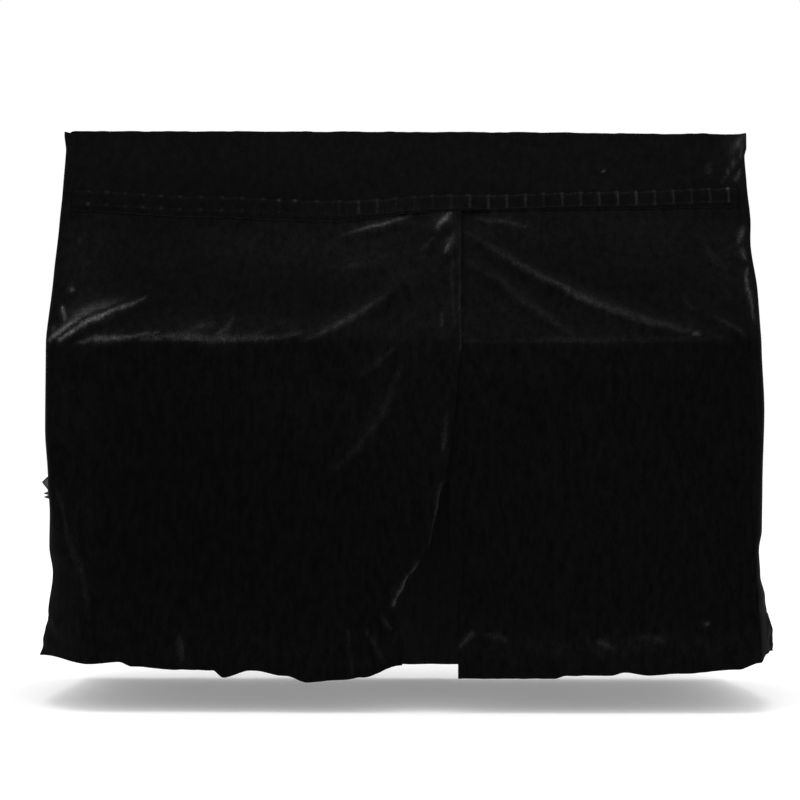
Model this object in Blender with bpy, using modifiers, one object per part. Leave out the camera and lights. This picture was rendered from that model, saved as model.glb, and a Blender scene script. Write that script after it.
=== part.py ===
"""Fitted velvet cover, hollow, hanging full length from the top of what it covers.

Metres, +Z up, the front faces -Y and +X is to the viewer's right. The origin is
the middle of the top panel's underside, where the cover is carried.
The front slants from the lid's front edge to a ledge, breaks there and hangs
straight to the hem. Every piece is an open sheet, thickened by Solidify.
"""

from collections import namedtuple
from math import cos, exp, hypot, log, pi, sin

import bmesh
import bpy
from mathutils import Vector

# Cloth
CLOTH_THICK = 0.002
RIBBON_THICK = 0.0012
SEAM_GAP = 0.0008        # between the cut edges of two neighbours
LAYER_STEP = 0.0032      # from one layer of cloth to the next, middle to middle

# Driving sizes of the cover
LID_HALF_WIDTH = 0.750
LID_FORWARD = 0.180      # from the origin to the lid's front edge
BACK_Y = 0.180
LEDGE_FORWARD = 0.462
LEDGE_Z = -0.460
HEM_Z = -1.205           # of the back at its seams, a little lower than the front
BACK_SAG = 0.013         # how much lower the back hangs between its seams
BACK_SAG_X = 0.050       # middle of that sag
BACK_SAG_HALF_WIDTH = 0.280
TENT_SAG = 0.015         # how far the slanted front hangs in
LEDGE_SOFTNESS = 0.004
LID_INSET = 0.0022       # from the top panel's cut edge to the cloth that meets it
LID_CORNER = 0.024       # radius of the top panel's corners
LID_BUMP = 0.0015        # unevenness of the top panel
LID_WAVES = (17.0, 23.0)  # of that unevenness, in radians a metre across and along

# Rows of faces, shared by pieces that meet at a seam
ROWS_BAND = 4
ROWS_ABOVE_LEDGE = 10
ROWS_BELOW_LEDGE = 18
COLUMNS_LEFT = 26
COLUMNS_RIGHT = 24
COLUMNS_BAND = 28
COLUMNS_LID = 24
ROWS_LID = 14
COLUMNS_BACK = 16
ROWS_BACK = 10

# Pleated strip of flat knife pleats, each of which rises to its folded edge and drops behind it
PLEATS = 36
COLUMNS_PER_PLEAT = 4
ROWS_STRIP = 2
STRIP_HEIGHT = 0.046
PLEAT_RISE = 0.0045
PLEAT_SCALLOP = 0.002
PLEAT_EDGE = 0.80        # share of the pitch at which the folded edge lies
PLEAT_SHIFT = 0.30       # share of a pitch by which the first pleat is cut short
STRIP_STANDOFF = 0.0028  # from the cloth under the strip, middle to middle

# Where the strip rises over the two layers of cloth at the slit
STRIP_STEP_START = -0.030
STRIP_STEP_RUN = 0.040
STRIP_STEP_END = 0.175
STRIP_STEP_FALL = 0.030

# Height of the strip's middle line across the front
StripPoint = namedtuple("StripPoint", "x z")
STRIP_LINE = (
    StripPoint(-0.730, -0.155),
    StripPoint(-0.450, -0.168),
    StripPoint(-0.160, -0.178),
    StripPoint(0.120, -0.165),
    StripPoint(0.450, -0.156),
    StripPoint(0.730, -0.146),
)

# How far the strip's foot is drawn up, most of all at the slit
FootLift = namedtuple("FootLift", "x up")
STRIP_FOOT = (
    FootLift(-0.160, 0.000),
    FootLift(0.000, 0.009),
    FootLift(0.120, 0.011),
    FootLift(0.450, 0.008),
    FootLift(0.730, 0.003),
)

# Free edges of the two curtains at the centre slit
EdgePoint = namedtuple("EdgePoint", "z x")
LEFT_FREE_EDGE = (
    EdgePoint(-0.150, 0.123),
    EdgePoint(-0.460, 0.119),
    EdgePoint(-0.585, 0.109),
    EdgePoint(-0.670, 0.100),
    EdgePoint(-0.745, 0.088),
    EdgePoint(-0.800, 0.071),
    EdgePoint(-0.880, 0.056),
    EdgePoint(-0.925, 0.033),
    EdgePoint(-0.975, 0.001),
    EdgePoint(-1.015, -0.018),
    EdgePoint(-1.050, -0.016),
    EdgePoint(-1.105, 0.000),
    EdgePoint(-1.145, -0.004),
)
RIGHT_FREE_EDGE = (
    EdgePoint(-0.150, 0.096),
    EdgePoint(-0.855, 0.096),
    EdgePoint(-0.905, 0.100),
    EdgePoint(-0.950, 0.108),
    EdgePoint(-0.990, 0.114),
    EdgePoint(-1.055, 0.111),
    EdgePoint(-1.175, 0.115),
)

# Height of the hem along the front and round the sides
HemPoint = namedtuple("HemPoint", "x z")
LEFT_HEM = (
    HemPoint(-0.670, -1.148),
    HemPoint(-0.605, -1.143),
    HemPoint(-0.575, -1.152),
    HemPoint(-0.487, -1.159),
    HemPoint(-0.405, -1.160),
    HemPoint(-0.383, -1.175),
    HemPoint(-0.325, -1.160),
    HemPoint(-0.251, -1.171),
    HemPoint(-0.206, -1.184),
    HemPoint(-0.126, -1.179),
    HemPoint(-0.090, -1.174),
    HemPoint(-0.005, -1.148),
)
RIGHT_HEM = (
    HemPoint(0.115, -1.176),
    HemPoint(0.318, -1.176),
    HemPoint(0.344, -1.169),
    HemPoint(0.439, -1.169),
    HemPoint(0.466, -1.162),
    HemPoint(0.519, -1.169),
    HemPoint(0.583, -1.165),
    HemPoint(0.709, -1.156),
    HemPoint(0.754, -1.142),
)

# Plan of a side panel at some heights: the seam on the front face, the corner,
# how far behind the front the corner ends, how square it is, then the side itself
SideLevel = namedtuple("SideLevel", "z seam_x corner_x corner_depth square middle_x")
LEFT_SIDE = (
    SideLevel(0.001, 0.729, 0.758, 0.022, 1.0, 0.750),
    SideLevel(-0.040, 0.729, 0.752, 0.022, 1.0, 0.750),
    SideLevel(-0.130, 0.729, 0.753, 0.022, 1.0, 0.750),
    SideLevel(-0.210, 0.728, 0.755, 0.024, 1.0, 0.750),
    SideLevel(-0.320, 0.728, 0.758, 0.026, 1.0, 0.751),
    SideLevel(-0.460, 0.727, 0.762, 0.030, 0.9, 0.753),
    SideLevel(-0.650, 0.730, 0.764, 0.034, 0.8, 0.756),
    SideLevel(-0.760, 0.733, 0.758, 0.035, 0.8, 0.757),
    SideLevel(-0.830, 0.727, 0.755, 0.040, 0.7, 0.757),
    SideLevel(-0.900, 0.705, 0.758, 0.055, 0.6, 0.757),
    SideLevel(-0.960, 0.678, 0.753, 0.075, 0.4, 0.758),
    SideLevel(-1.050, 0.665, 0.767, 0.105, 0.3, 0.761),
    SideLevel(-1.120, 0.668, 0.781, 0.130, 0.2, 0.766),
    SideLevel(-1.150, 0.670, 0.786, 0.135, 0.2, 0.768),
)
RIGHT_SIDE = (
    SideLevel(0.001, 0.729, 0.758, 0.022, 1.0, 0.750),
    SideLevel(-0.025, 0.729, 0.757, 0.022, 1.0, 0.750),
    SideLevel(-0.050, 0.729, 0.751, 0.022, 1.0, 0.750),
    SideLevel(-0.110, 0.729, 0.752, 0.022, 1.0, 0.750),
    SideLevel(-0.190, 0.728, 0.755, 0.023, 1.0, 0.750),
    SideLevel(-0.250, 0.728, 0.751, 0.024, 1.0, 0.750),
    SideLevel(-0.350, 0.728, 0.758, 0.026, 1.0, 0.751),
    SideLevel(-0.460, 0.727, 0.757, 0.030, 0.9, 0.753),
    SideLevel(-0.610, 0.731, 0.764, 0.034, 0.8, 0.756),
    SideLevel(-0.760, 0.733, 0.761, 0.035, 0.8, 0.758),
    SideLevel(-0.860, 0.737, 0.761, 0.040, 0.7, 0.760),
    SideLevel(-0.905, 0.739, 0.756, 0.050, 0.7, 0.762),
    SideLevel(-0.960, 0.743, 0.762, 0.072, 0.5, 0.766),
    SideLevel(-1.010, 0.747, 0.775, 0.090, 0.4, 0.771),
    SideLevel(-1.095, 0.753, 0.796, 0.130, 0.2, 0.778),
    SideLevel(-1.140, 0.754, 0.797, 0.135, 0.2, 0.780),
)

# Hem height along each side panel, from the front seam (0) to the back seam (1)
SideHem = namedtuple("SideHem", "along z")
LEFT_SIDE_HEM = (
    SideHem(0.0, -1.148),
    SideHem(0.2, -1.140),
    SideHem(0.5, -1.151),
    SideHem(1.0, -1.205),
)
RIGHT_SIDE_HEM = (
    SideHem(0.0, -1.142),
    SideHem(0.1, -1.127),
    SideHem(0.2, -1.125),
    SideHem(0.5, -1.148),
    SideHem(1.0, -1.205),
)

# Folds of the front: the line each follows, its half width and its height
Fold = namedtuple("Fold", "line half_width height")
FRONT_FOLDS = (
    # left curtain, fan from the ledge's corner
    Fold(((-0.745, -0.462), (-0.624, -0.401), (-0.545, -0.368)), 0.017, 0.010),
    Fold(((-0.735, -0.372), (-0.690, -0.415), (-0.600, -0.462)), 0.030, 0.009),
    # left curtain, up to the slit
    Fold(((-0.200, -0.456), (-0.093, -0.408), (-0.029, -0.366), (0.075, -0.314)), 0.020, 0.012),
    Fold(((-0.160, -0.310), (-0.060, -0.292)), 0.016, 0.005),
    Fold(((-0.110, -0.222), (0.014, -0.190), (0.070, -0.170)), 0.015, 0.007),
    Fold(((0.055, -0.240), (0.105, -0.180)), 0.014, 0.010),
    Fold(((0.078, -0.290), (0.110, -0.240)), 0.014, 0.008),
    # left curtain, below the ledge
    Fold(((-0.005, -0.500), (-0.050, -0.622), (-0.094, -0.679), (-0.150, -0.740)), 0.022, 0.010),
    Fold(((-0.095, -0.540), (-0.020, -0.470)), 0.018, 0.006),
    Fold(((0.098, -0.560), (0.080, -0.690), (0.070, -0.760), (0.042, -0.893), (-0.028, -1.010)), 0.018, 0.010),
    # right curtain, main diagonals
    Fold(((0.135, -0.215), (0.256, -0.303), (0.332, -0.345), (0.538, -0.433), (0.700, -0.464)), 0.017, 0.012),
    Fold(((0.130, -0.288), (0.188, -0.325), (0.274, -0.397), (0.352, -0.450)), 0.017, 0.009),
    Fold(((0.135, -0.184), (0.262, -0.212)), 0.013, 0.006),
    Fold(((0.640, -0.405), (0.745, -0.466)), 0.016, 0.008),
    Fold(((0.732, -0.215), (0.728, -0.300), (0.742, -0.430)), 0.014, 0.005),
    # soft hanging folds towards the hem
    Fold(((-0.560, -0.700), (-0.575, -1.150)), 0.040, 0.010),
    Fold(((-0.385, -0.760), (-0.390, -1.170)), 0.032, 0.012),
    Fold(((-0.215, -0.800), (-0.200, -1.180)), 0.036, 0.014),
    Fold(((-0.090, -0.960), (-0.060, -1.170)), 0.028, 0.010),
    Fold(((0.150, -0.700), (0.160, -1.180)), 0.030, 0.010),
    Fold(((0.330, -0.800), (0.345, -1.180)), 0.036, 0.010),
    Fold(((0.480, -0.850), (0.470, -1.170)), 0.032, 0.008),
    Fold(((0.620, -0.760), (0.640, -1.160)), 0.036, 0.012),
)
FOLD_REACH = 3.0         # half widths, past which a fold no longer shows
FOLD_START = 0.025       # over which the folds rise below the strip

# Where the left curtain rises onto the right one, and where the right one's folds begin
SLIT_LIFT_START = -0.010
SLIT_LIFT_RUN = 0.070
SLIT_UNDERLAP_END = 0.118
SLIT_FADE = 0.030

# Hanging folds of the sides and the back: place along the panel, lean, half width, height
HangFold = namedtuple("HangFold", "along lean half_width height")
SIDE_FOLDS = (
    HangFold(0.34, 0.05, 0.035, 0.010),
    HangFold(0.55, -0.02, 0.040, 0.012),
    HangFold(0.76, 0.03, 0.035, 0.009),
)
BACK_FOLDS = (
    HangFold(0.14, 0.02, 0.030, 0.010),
    HangFold(0.33, -0.03, 0.036, 0.012),
    HangFold(0.52, 0.02, 0.032, 0.010),
    HangFold(0.70, 0.03, 0.036, 0.012),
    HangFold(0.88, -0.02, 0.030, 0.010),
)
SIDE_DEPTH = 0.6         # metres of a side panel for its whole length, near enough for its folds
HANG_START = -0.12       # height from which the side folds open
HANG_RUN = 0.9
BACK_CORNER = 0.014      # radius of the back corners
BACK_WRAP = 0.008        # what a side panel reaches past its back corner

# Columns of faces that each stretch of a side panel's plan takes, from the front
COLUMNS_CORNER = 4
COLUMNS_FLANK = 7
COLUMNS_BACK_CORNER = 2
COLUMNS_WRAP = 1
COLUMNS_SIDE = COLUMNS_CORNER + COLUMNS_FLANK + COLUMNS_BACK_CORNER + COLUMNS_WRAP
CORNER_SHARE = COLUMNS_CORNER / COLUMNS_SIDE
FLANK_SHARE = (COLUMNS_CORNER + COLUMNS_FLANK) / COLUMNS_SIDE
BACK_CORNER_SHARE = (COLUMNS_SIDE - COLUMNS_WRAP) / COLUMNS_SIDE
FLANK_MIDDLE_Y = -0.020

# Ribbon end at the left edge
TIE_TOP_Z = -0.752
TIE_BOTTOM_Z = -0.796
TIE_TIP_Z = -0.763
TIE_TIP_OUT = 0.012
TIE_TURN_Z = -0.779
TIE_TAIL_Z = -0.788
TIE_TAIL_OUT = 0.010
TIE_ROOT_OUT = 0.0015
TIE_CLEARANCE = 0.0014
TIE_CURL = 0.002
TIE_ROWS = 12
TIE_COLUMNS = 3

VELVET_BLACK = (0.006, 0.006, 0.007, 1.0)
RIBBON_GREY = (0.060, 0.060, 0.065, 1.0)
VELVET_ROUGH = 0.85
RIBBON_ROUGH = 0.45


def smooth_step(t):
    """Ease from 0 to 1 with level ends."""
    t = min(max(t, 0.0), 1.0)
    return t * t * (3.0 - 2.0 * t)


def along_table(rows, at, key, value):
    """Read a table at a place between its rows, easing from row to row."""
    places = [getattr(row, key) for row in rows]
    values = [getattr(row, value) for row in rows]
    if places[0] > places[-1]:
        places.reverse()
        values.reverse()
    if at <= places[0]:
        return values[0]
    for low, high, first, second in zip(places, places[1:], values, values[1:]):
        if at <= high:
            return first + (second - first) * smooth_step((at - low) / (high - low))
    return values[-1]


def forward(z):
    """How far the front's cloth lies before the origin at a height."""
    down = z / LEDGE_Z
    sag = TENT_SAG * 4.0 * max(down, 0.0) * max(1.0 - down, 0.0)
    slant = LID_FORWARD + (LEDGE_FORWARD - LID_FORWARD) * down - sag
    return LEDGE_FORWARD - LEDGE_SOFTNESS * log(1.0 + exp((LEDGE_FORWARD - slant) / LEDGE_SOFTNESS))


def front_normal(z):
    """Outward direction of the front at a height."""
    step = 0.002
    slope = (forward(z + step) - forward(z - step)) / (2.0 * step)
    return Vector((0.0, -1.0, -slope)).normalized()


def distance_to_line(x, z, line):
    """Distance to a bent line, and how far along it the nearest point lies (0 to 1)."""
    lengths = [hypot(b[0] - a[0], b[1] - a[1]) for a, b in zip(line, line[1:])]
    total = sum(lengths)
    best = (1.0e9, 0.0)
    before = 0.0
    for (ax, az), (bx, bz), length in zip(line, line[1:], lengths):
        share = ((x - ax) * (bx - ax) + (z - az) * (bz - az)) / (length * length)
        share = min(max(share, 0.0), 1.0)
        away = hypot(x - ax - share * (bx - ax), z - az - share * (bz - az))
        if away < best[0]:
            best = (away, (before + share * length) / total)
        before += length
    return best


def front_relief(x, z):
    """Height of all the front's folds at a place, none of them under the pleated strip."""
    strip_foot = along_table(STRIP_LINE, x, "x", "z") - STRIP_HEIGHT / 2.0 - PLEAT_SCALLOP
    if z >= strip_foot:
        return 0.0
    relief = 0.0
    for fold in FRONT_FOLDS:
        away, along = distance_to_line(x, z, fold.line)
        if away < FOLD_REACH * fold.half_width:
            swell = 0.35 + 0.65 * sin(pi * min(max(along, 0.0), 1.0))
            relief += fold.height * swell * exp(-((away / fold.half_width) ** 2))
    return relief * smooth_step((strip_foot - z) / FOLD_START)


def front_point(x, z, lift=0.0, relief_share=1.0):
    """A point of the front's cloth, lifted off the lowest layer by lift."""
    out = front_relief(x, z) * relief_share + lift
    return Vector((x, -forward(z), z)) + front_normal(z) * out


def height_of_row(v, top, bottom, share_above):
    """Height at a share v of the rows, with one row exactly on the ledge line."""
    if v < share_above:
        return top + (LEDGE_Z - top) * v / share_above
    return LEDGE_Z + (bottom - LEDGE_Z) * (v - share_above) / (1.0 - share_above)


CURTAIN_SHARE_ABOVE = ROWS_ABOVE_LEDGE / (ROWS_ABOVE_LEDGE + ROWS_BELOW_LEDGE)
SIDE_ROWS_ABOVE = ROWS_BAND + ROWS_ABOVE_LEDGE
SIDE_SHARE_ABOVE = SIDE_ROWS_ABOVE / (SIDE_ROWS_ABOVE + ROWS_BELOW_LEDGE)


def left_curtain(u, v):
    """Left curtain, from its outer seam (u = 0) to its free edge (u = 1), on top at the slit."""
    x = -along_table(LEFT_SIDE, LEDGE_Z, "z", "seam_x")
    z = LEDGE_Z
    for _ in range(4):
        top = along_table(STRIP_LINE, x, "x", "z") - SEAM_GAP / 2.0
        bottom = along_table(LEFT_HEM, x, "x", "z")
        z = height_of_row(v, top, bottom, CURTAIN_SHARE_ABOVE)
        outer = -along_table(LEFT_SIDE, z, "z", "seam_x") + SEAM_GAP / 2.0
        inner = along_table(LEFT_FREE_EDGE, z, "z", "x")
        x = outer + (inner - outer) * u
    lift = LAYER_STEP * smooth_step((x - SLIT_LIFT_START) / SLIT_LIFT_RUN)
    return front_point(x, z, lift)


def right_curtain(u, v):
    """Right curtain, from its free edge (u = 0), under the left one, to its outer seam (u = 1)."""
    x = along_table(RIGHT_SIDE, LEDGE_Z, "z", "seam_x")
    z = LEDGE_Z
    for _ in range(4):
        top = along_table(STRIP_LINE, x, "x", "z") - SEAM_GAP / 2.0
        bottom = along_table(RIGHT_HEM, x, "x", "z")
        z = height_of_row(v, top, bottom, CURTAIN_SHARE_ABOVE)
        outer = along_table(RIGHT_SIDE, z, "z", "seam_x") - SEAM_GAP / 2.0
        inner = along_table(RIGHT_FREE_EDGE, z, "z", "x")
        x = inner + (outer - inner) * u
    return front_point(x, z, 0.0, smooth_step((x - SLIT_UNDERLAP_END) / SLIT_FADE))


def band(u, v):
    """Upper front band, from the lid's front edge to the middle of the strip."""
    seam = LEFT_SIDE[0].seam_x - SEAM_GAP / 2.0
    x = seam * (2.0 * u - 1.0)
    bottom = along_table(STRIP_LINE, x, "x", "z") + SEAM_GAP / 2.0
    z = CLOTH_THICK + (bottom - CLOTH_THICK) * v
    return front_point(x, z)


def strip(u, v):
    """Pleated strip, whose pleats stand out most at half its height."""
    seam = LEFT_SIDE[0].seam_x - SEAM_GAP / 2.0
    x = seam * (2.0 * u - 1.0)
    phase = (PLEATS * u + PLEAT_SHIFT) % 1.0
    rise = phase / PLEAT_EDGE if phase < PLEAT_EDGE else (1.0 - phase) / (1.0 - PLEAT_EDGE)
    across = 1.0 - 2.0 * v
    half = STRIP_HEIGHT / 2.0 + PLEAT_SCALLOP * rise
    z = along_table(STRIP_LINE, x, "x", "z") + across * half
    z += along_table(STRIP_FOOT, x, "x", "up") * max(-across, 0.0)
    step = smooth_step((x - STRIP_STEP_START) / STRIP_STEP_RUN)
    step *= LAYER_STEP * smooth_step((STRIP_STEP_END - x) / STRIP_STEP_FALL)
    lift = STRIP_STANDOFF + step + PLEAT_RISE * rise * (0.35 + 0.65 * cos(across * pi / 2.0))
    return front_point(x, z, lift)


def side_plan(level, z, s):
    """Plan of a side panel at one height: x outward and y, from front seam (0) to back seam (1)."""
    front_y = -forward(z)
    end_y = front_y + level.corner_depth
    if s < CORNER_SHARE:
        t = s / CORNER_SHARE
        pull_x = level.seam_x + (level.corner_x - level.seam_x) * (0.5 + 0.5 * level.square)
        pull_y = end_y + (front_y - end_y) * (0.5 + 0.5 * level.square)
        x = (1 - t) ** 2 * level.seam_x + 2 * t * (1 - t) * pull_x + t * t * level.corner_x
        y = (1 - t) ** 2 * front_y + 2 * t * (1 - t) * pull_y + t * t * end_y
        return x, y
    back_end = BACK_Y - BACK_CORNER
    if s < FLANK_SHARE:
        t = (s - CORNER_SHARE) / (FLANK_SHARE - CORNER_SHARE)
        y = end_y + (back_end - end_y) * t
        if y < FLANK_MIDDLE_Y:
            ease = smooth_step((y - end_y) / (FLANK_MIDDLE_Y - end_y))
            return level.corner_x + (level.middle_x - level.corner_x) * ease, y
        ease = smooth_step((y - FLANK_MIDDLE_Y) / (back_end - FLANK_MIDDLE_Y))
        return level.middle_x + (LID_HALF_WIDTH - level.middle_x) * ease, y
    if s < BACK_CORNER_SHARE:
        turn = (s - FLANK_SHARE) / (BACK_CORNER_SHARE - FLANK_SHARE) * pi / 2.0
        return LID_HALF_WIDTH - BACK_CORNER * (1.0 - cos(turn)), back_end + BACK_CORNER * sin(turn)
    wrap = BACK_WRAP * (s - BACK_CORNER_SHARE) / (1.0 - BACK_CORNER_SHARE)
    return LID_HALF_WIDTH - BACK_CORNER - wrap, BACK_Y


def side_point(levels, hem, hand, s, v):
    """A point of a side panel; hand is -1 for the left one and 1 for the right one."""
    z = height_of_row(v, CLOTH_THICK / 2.0, along_table(hem, s, "along", "z"), SIDE_SHARE_ABOVE)
    level = SideLevel(z, *(along_table(levels, z, "z", name) for name in SideLevel._fields[1:]))
    level = level._replace(seam_x=level.seam_x + SEAM_GAP / 2.0 + CLOTH_THICK / 2.0 * (1.0 - level.square))
    x, y = side_plan(level, z, s)
    hang = smooth_step((HANG_START - z) / HANG_RUN)
    for fold in SIDE_FOLDS:
        away = (s - fold.along - fold.lean * hang) * SIDE_DEPTH
        x += fold.height * hang * exp(-((away / fold.half_width) ** 2))
    point = Vector((hand * x, y, z))
    fade = smooth_step(1.0 - s / CORNER_SHARE)
    return point + front_normal(z) * front_relief(hand * x, z) * fade


def left_side(u, v):
    """Left side panel, from its front seam (u = 0) to its back seam (u = 1)."""
    return side_point(LEFT_SIDE, LEFT_SIDE_HEM, -1.0, u, v)


def right_side(u, v):
    """Right side panel, from its front seam (u = 0) to its back seam (u = 1)."""
    return side_point(RIGHT_SIDE, RIGHT_SIDE_HEM, 1.0, u, v)


def back(u, v):
    """Back panel, with soft hanging folds that stand out behind."""
    seam = LID_HALF_WIDTH - BACK_CORNER - BACK_WRAP - SEAM_GAP
    x = seam * (2.0 * u - 1.0)
    bottom = HEM_Z - BACK_SAG * exp(-(((x - BACK_SAG_X) / BACK_SAG_HALF_WIDTH) ** 2))
    z = CLOTH_THICK / 2.0 + (bottom - CLOTH_THICK / 2.0) * v
    hang = smooth_step(v)
    y = BACK_Y
    for fold in BACK_FOLDS:
        away = (u - fold.along - fold.lean * hang) * 2.0 * LID_HALF_WIDTH
        y += fold.height * hang * exp(-((away / fold.half_width) ** 2))
    return Vector((x, y, z))


def lid(u, v):
    """Top panel, a flat rectangle with rounded corners and a little unevenness."""
    half_depth = LID_FORWARD - LID_INSET
    across = -cos(pi * v)
    y = half_depth * across
    into_corner = max(abs(y) - (half_depth - LID_CORNER), 0.0) / LID_CORNER
    cut = LID_CORNER * (1.0 - (1.0 - min(into_corner, 1.0) ** 2) ** 0.5)
    x = (LID_HALF_WIDTH - LID_INSET - cut) * (2.0 * u - 1.0)
    wave = sin(LID_WAVES[0] * x) * cos(LID_WAVES[1] * y)
    bump = LID_BUMP * (wave + 1.0) / 2.0 * (1.0 - across * across)
    return Vector((x, y, CLOTH_THICK / 2.0 + bump))


def tie(u, v):
    """Folded ribbon end: one pointed loop laid flat, and a short tail below it."""
    z = TIE_TOP_Z + (TIE_BOTTOM_Z - TIE_TOP_Z) * v
    if z > TIE_TIP_Z:
        out = TIE_TIP_OUT * (TIE_TOP_Z - z) / (TIE_TOP_Z - TIE_TIP_Z)
    elif z > TIE_TURN_Z:
        out = TIE_TIP_OUT * (z - TIE_TURN_Z) / (TIE_TIP_Z - TIE_TURN_Z)
    else:
        out = TIE_TAIL_OUT * max(1.0 - abs(z - TIE_TAIL_Z) / (TIE_TURN_Z - TIE_TAIL_Z), 0.0)
    out += TIE_ROOT_OUT
    root = side_point(LEFT_SIDE, LEFT_SIDE_HEM, -1.0, CORNER_SHARE, side_row_of(z))
    x = root.x - CLOTH_THICK / 2.0 - TIE_CLEARANCE - out * u
    return Vector((x, root.y + TIE_CURL * sin(pi * u), z))


def side_row_of(z):
    """The share of a side panel's rows at which its corner reaches a height."""
    bottom = along_table(LEFT_SIDE_HEM, CORNER_SHARE, "along", "z")
    return SIDE_SHARE_ABOVE + (1.0 - SIDE_SHARE_ABOVE) * (z - LEDGE_Z) / (bottom - LEDGE_Z)


def make_material(name, colour, roughness):
    """Plain material with one colour and one roughness."""
    material = bpy.data.materials.new(name)
    material.use_nodes = True
    shader = material.node_tree.nodes["Principled BSDF"]
    shader.inputs["Base Color"].default_value = colour
    shader.inputs["Roughness"].default_value = roughness
    shader.inputs["Metallic"].default_value = 0.0
    return material


def make_sheet(name, columns, rows, place, material, collection, thickness=CLOTH_THICK):
    """Lay a grid along place(u, v) and thicken it to both sides."""
    mesh = bpy.data.meshes.new(name)
    grid = bmesh.new()
    bmesh.ops.create_grid(grid, x_segments=columns, y_segments=rows, size=0.5)
    for vert in grid.verts:
        vert.co = place(vert.co.x + 0.5, 0.5 - vert.co.y)
    grid.to_mesh(mesh)
    grid.free()
    mesh.shade_smooth()
    mesh.materials.append(material)
    sheet = bpy.data.objects.new(name, mesh)
    collection.objects.link(sheet)
    solid = sheet.modifiers.new("Thickness", "SOLIDIFY")
    solid.thickness = thickness
    solid.offset = 0.0
    solid.use_even_offset = True
    return sheet


def main():
    """Clear the scene and build every piece of the cover."""
    for old in list(bpy.data.objects):
        bpy.data.objects.remove(old, do_unlink=True)
    collection = bpy.data.collections.new("piano_cover")
    bpy.context.scene.collection.children.link(collection)

    rows_curtain = ROWS_ABOVE_LEDGE + ROWS_BELOW_LEDGE
    rows_side = SIDE_ROWS_ABOVE + ROWS_BELOW_LEDGE
    sheets = (
        ("lid_panel", COLUMNS_LID, ROWS_LID, lid),
        ("front_band", COLUMNS_BAND, ROWS_BAND, band),
        ("pleated_strip", PLEATS * COLUMNS_PER_PLEAT, ROWS_STRIP, strip),
        ("front_curtain_left", COLUMNS_LEFT, rows_curtain, left_curtain),
        ("front_curtain_right", COLUMNS_RIGHT, rows_curtain, right_curtain),
        ("side_panel_left", COLUMNS_SIDE, rows_side, left_side),
        ("side_panel_right", COLUMNS_SIDE, rows_side, right_side),
        ("back_panel", COLUMNS_BACK, ROWS_BACK, back),
    )
    for name, columns, rows, place in sheets:
        velvet = make_material(name + "_velvet", VELVET_BLACK, VELVET_ROUGH)
        make_sheet(name, columns, rows, place, velvet, collection)
    ribbon = make_material("side_tie_ribbon", RIBBON_GREY, RIBBON_ROUGH)
    make_sheet("side_tie", TIE_COLUMNS, TIE_ROWS, tie, ribbon, collection, RIBBON_THICK)


main()
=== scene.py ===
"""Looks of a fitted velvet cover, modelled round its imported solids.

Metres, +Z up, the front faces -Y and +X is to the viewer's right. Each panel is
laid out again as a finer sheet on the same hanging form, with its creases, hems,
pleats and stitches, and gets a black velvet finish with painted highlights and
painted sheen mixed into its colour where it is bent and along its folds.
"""

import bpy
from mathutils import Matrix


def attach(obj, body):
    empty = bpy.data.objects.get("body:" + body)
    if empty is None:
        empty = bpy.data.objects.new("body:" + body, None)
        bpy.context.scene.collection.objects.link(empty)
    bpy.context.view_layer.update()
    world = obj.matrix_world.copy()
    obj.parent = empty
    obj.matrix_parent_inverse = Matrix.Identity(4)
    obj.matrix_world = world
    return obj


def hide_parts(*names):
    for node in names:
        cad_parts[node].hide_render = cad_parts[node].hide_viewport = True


bl_info = {
    "name": "Fitted Velvet Cover",
    "version": (1, 0, 0),
    "blender": (4, 5, 0),
    "location": "View3D > Sidebar > Cover",
    "description": "Models the panels, pleats, curtains and stitching of a fitted velvet cover",
    "category": "Object",
}

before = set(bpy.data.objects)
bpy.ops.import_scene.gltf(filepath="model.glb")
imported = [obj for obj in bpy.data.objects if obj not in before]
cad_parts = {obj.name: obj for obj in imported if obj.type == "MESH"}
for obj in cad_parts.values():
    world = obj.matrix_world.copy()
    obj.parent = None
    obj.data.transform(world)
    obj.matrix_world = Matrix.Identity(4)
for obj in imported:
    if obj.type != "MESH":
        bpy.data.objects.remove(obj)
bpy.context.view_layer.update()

from collections import namedtuple
from math import cos, pi, radians, sin

import bmesh
import bpy
import numpy as np
from bpy.props import FloatProperty, FloatVectorProperty, IntProperty, PointerProperty, StringProperty
from mathutils import Matrix, Vector

BODY = "root"
INSIDE = Vector((0.0, -0.15, -0.55))  # a point in the middle of the hollow

# Seams and layers of cloth
SEAM_GAP = 0.0008        # between the cut edges of two neighbours
SEAM_FADE = 0.05         # run beside the back's seams in which its ripples fade out
LAYER_STEP = 0.0032      # from one layer of cloth to the next, middle to middle
BACK_SAG = 0.013         # how much lower the back hangs between its seams
BACK_SAG_X = 0.050       # middle of that sag
BACK_SAG_HALF_WIDTH = 0.280
LEDGE_SOFTNESS = 0.004
LID_INSET = 0.0022
LID_CORNER = 0.024
LID_SWELL = 0.0015       # height of the top panel's broad swells
LID_SWELL_TURNS = (17.0, 23.0)  # along and across it, in radians a metre
LID_BROAD_SHARE = 0.35   # of the broad ripples that the top, lying flat, keeps
LID_FINE_SHARE = 0.5
BACK_CORNER = 0.014
BACK_WRAP = 0.008
FLANK_MIDDLE_Y = -0.020
BACK_Y = 0.180
FOLD_REACH = 3.0
FOLD_START = 0.025       # run below a seam in which folds rise
FINE_START = 0.010       # the same for the finest unevenness
BAND_SHARE = 0.4         # of the broad ripples that the band, held at both edges, keeps
FOLD_END_SHARE = 0.35    # of a fold's height, left at its two ends
SLIT_LIFT_START = -0.010
SLIT_LIFT_RUN = 0.070
SLIT_UNDERLAP_END = 0.118
SLIT_FADE = 0.030

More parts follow.
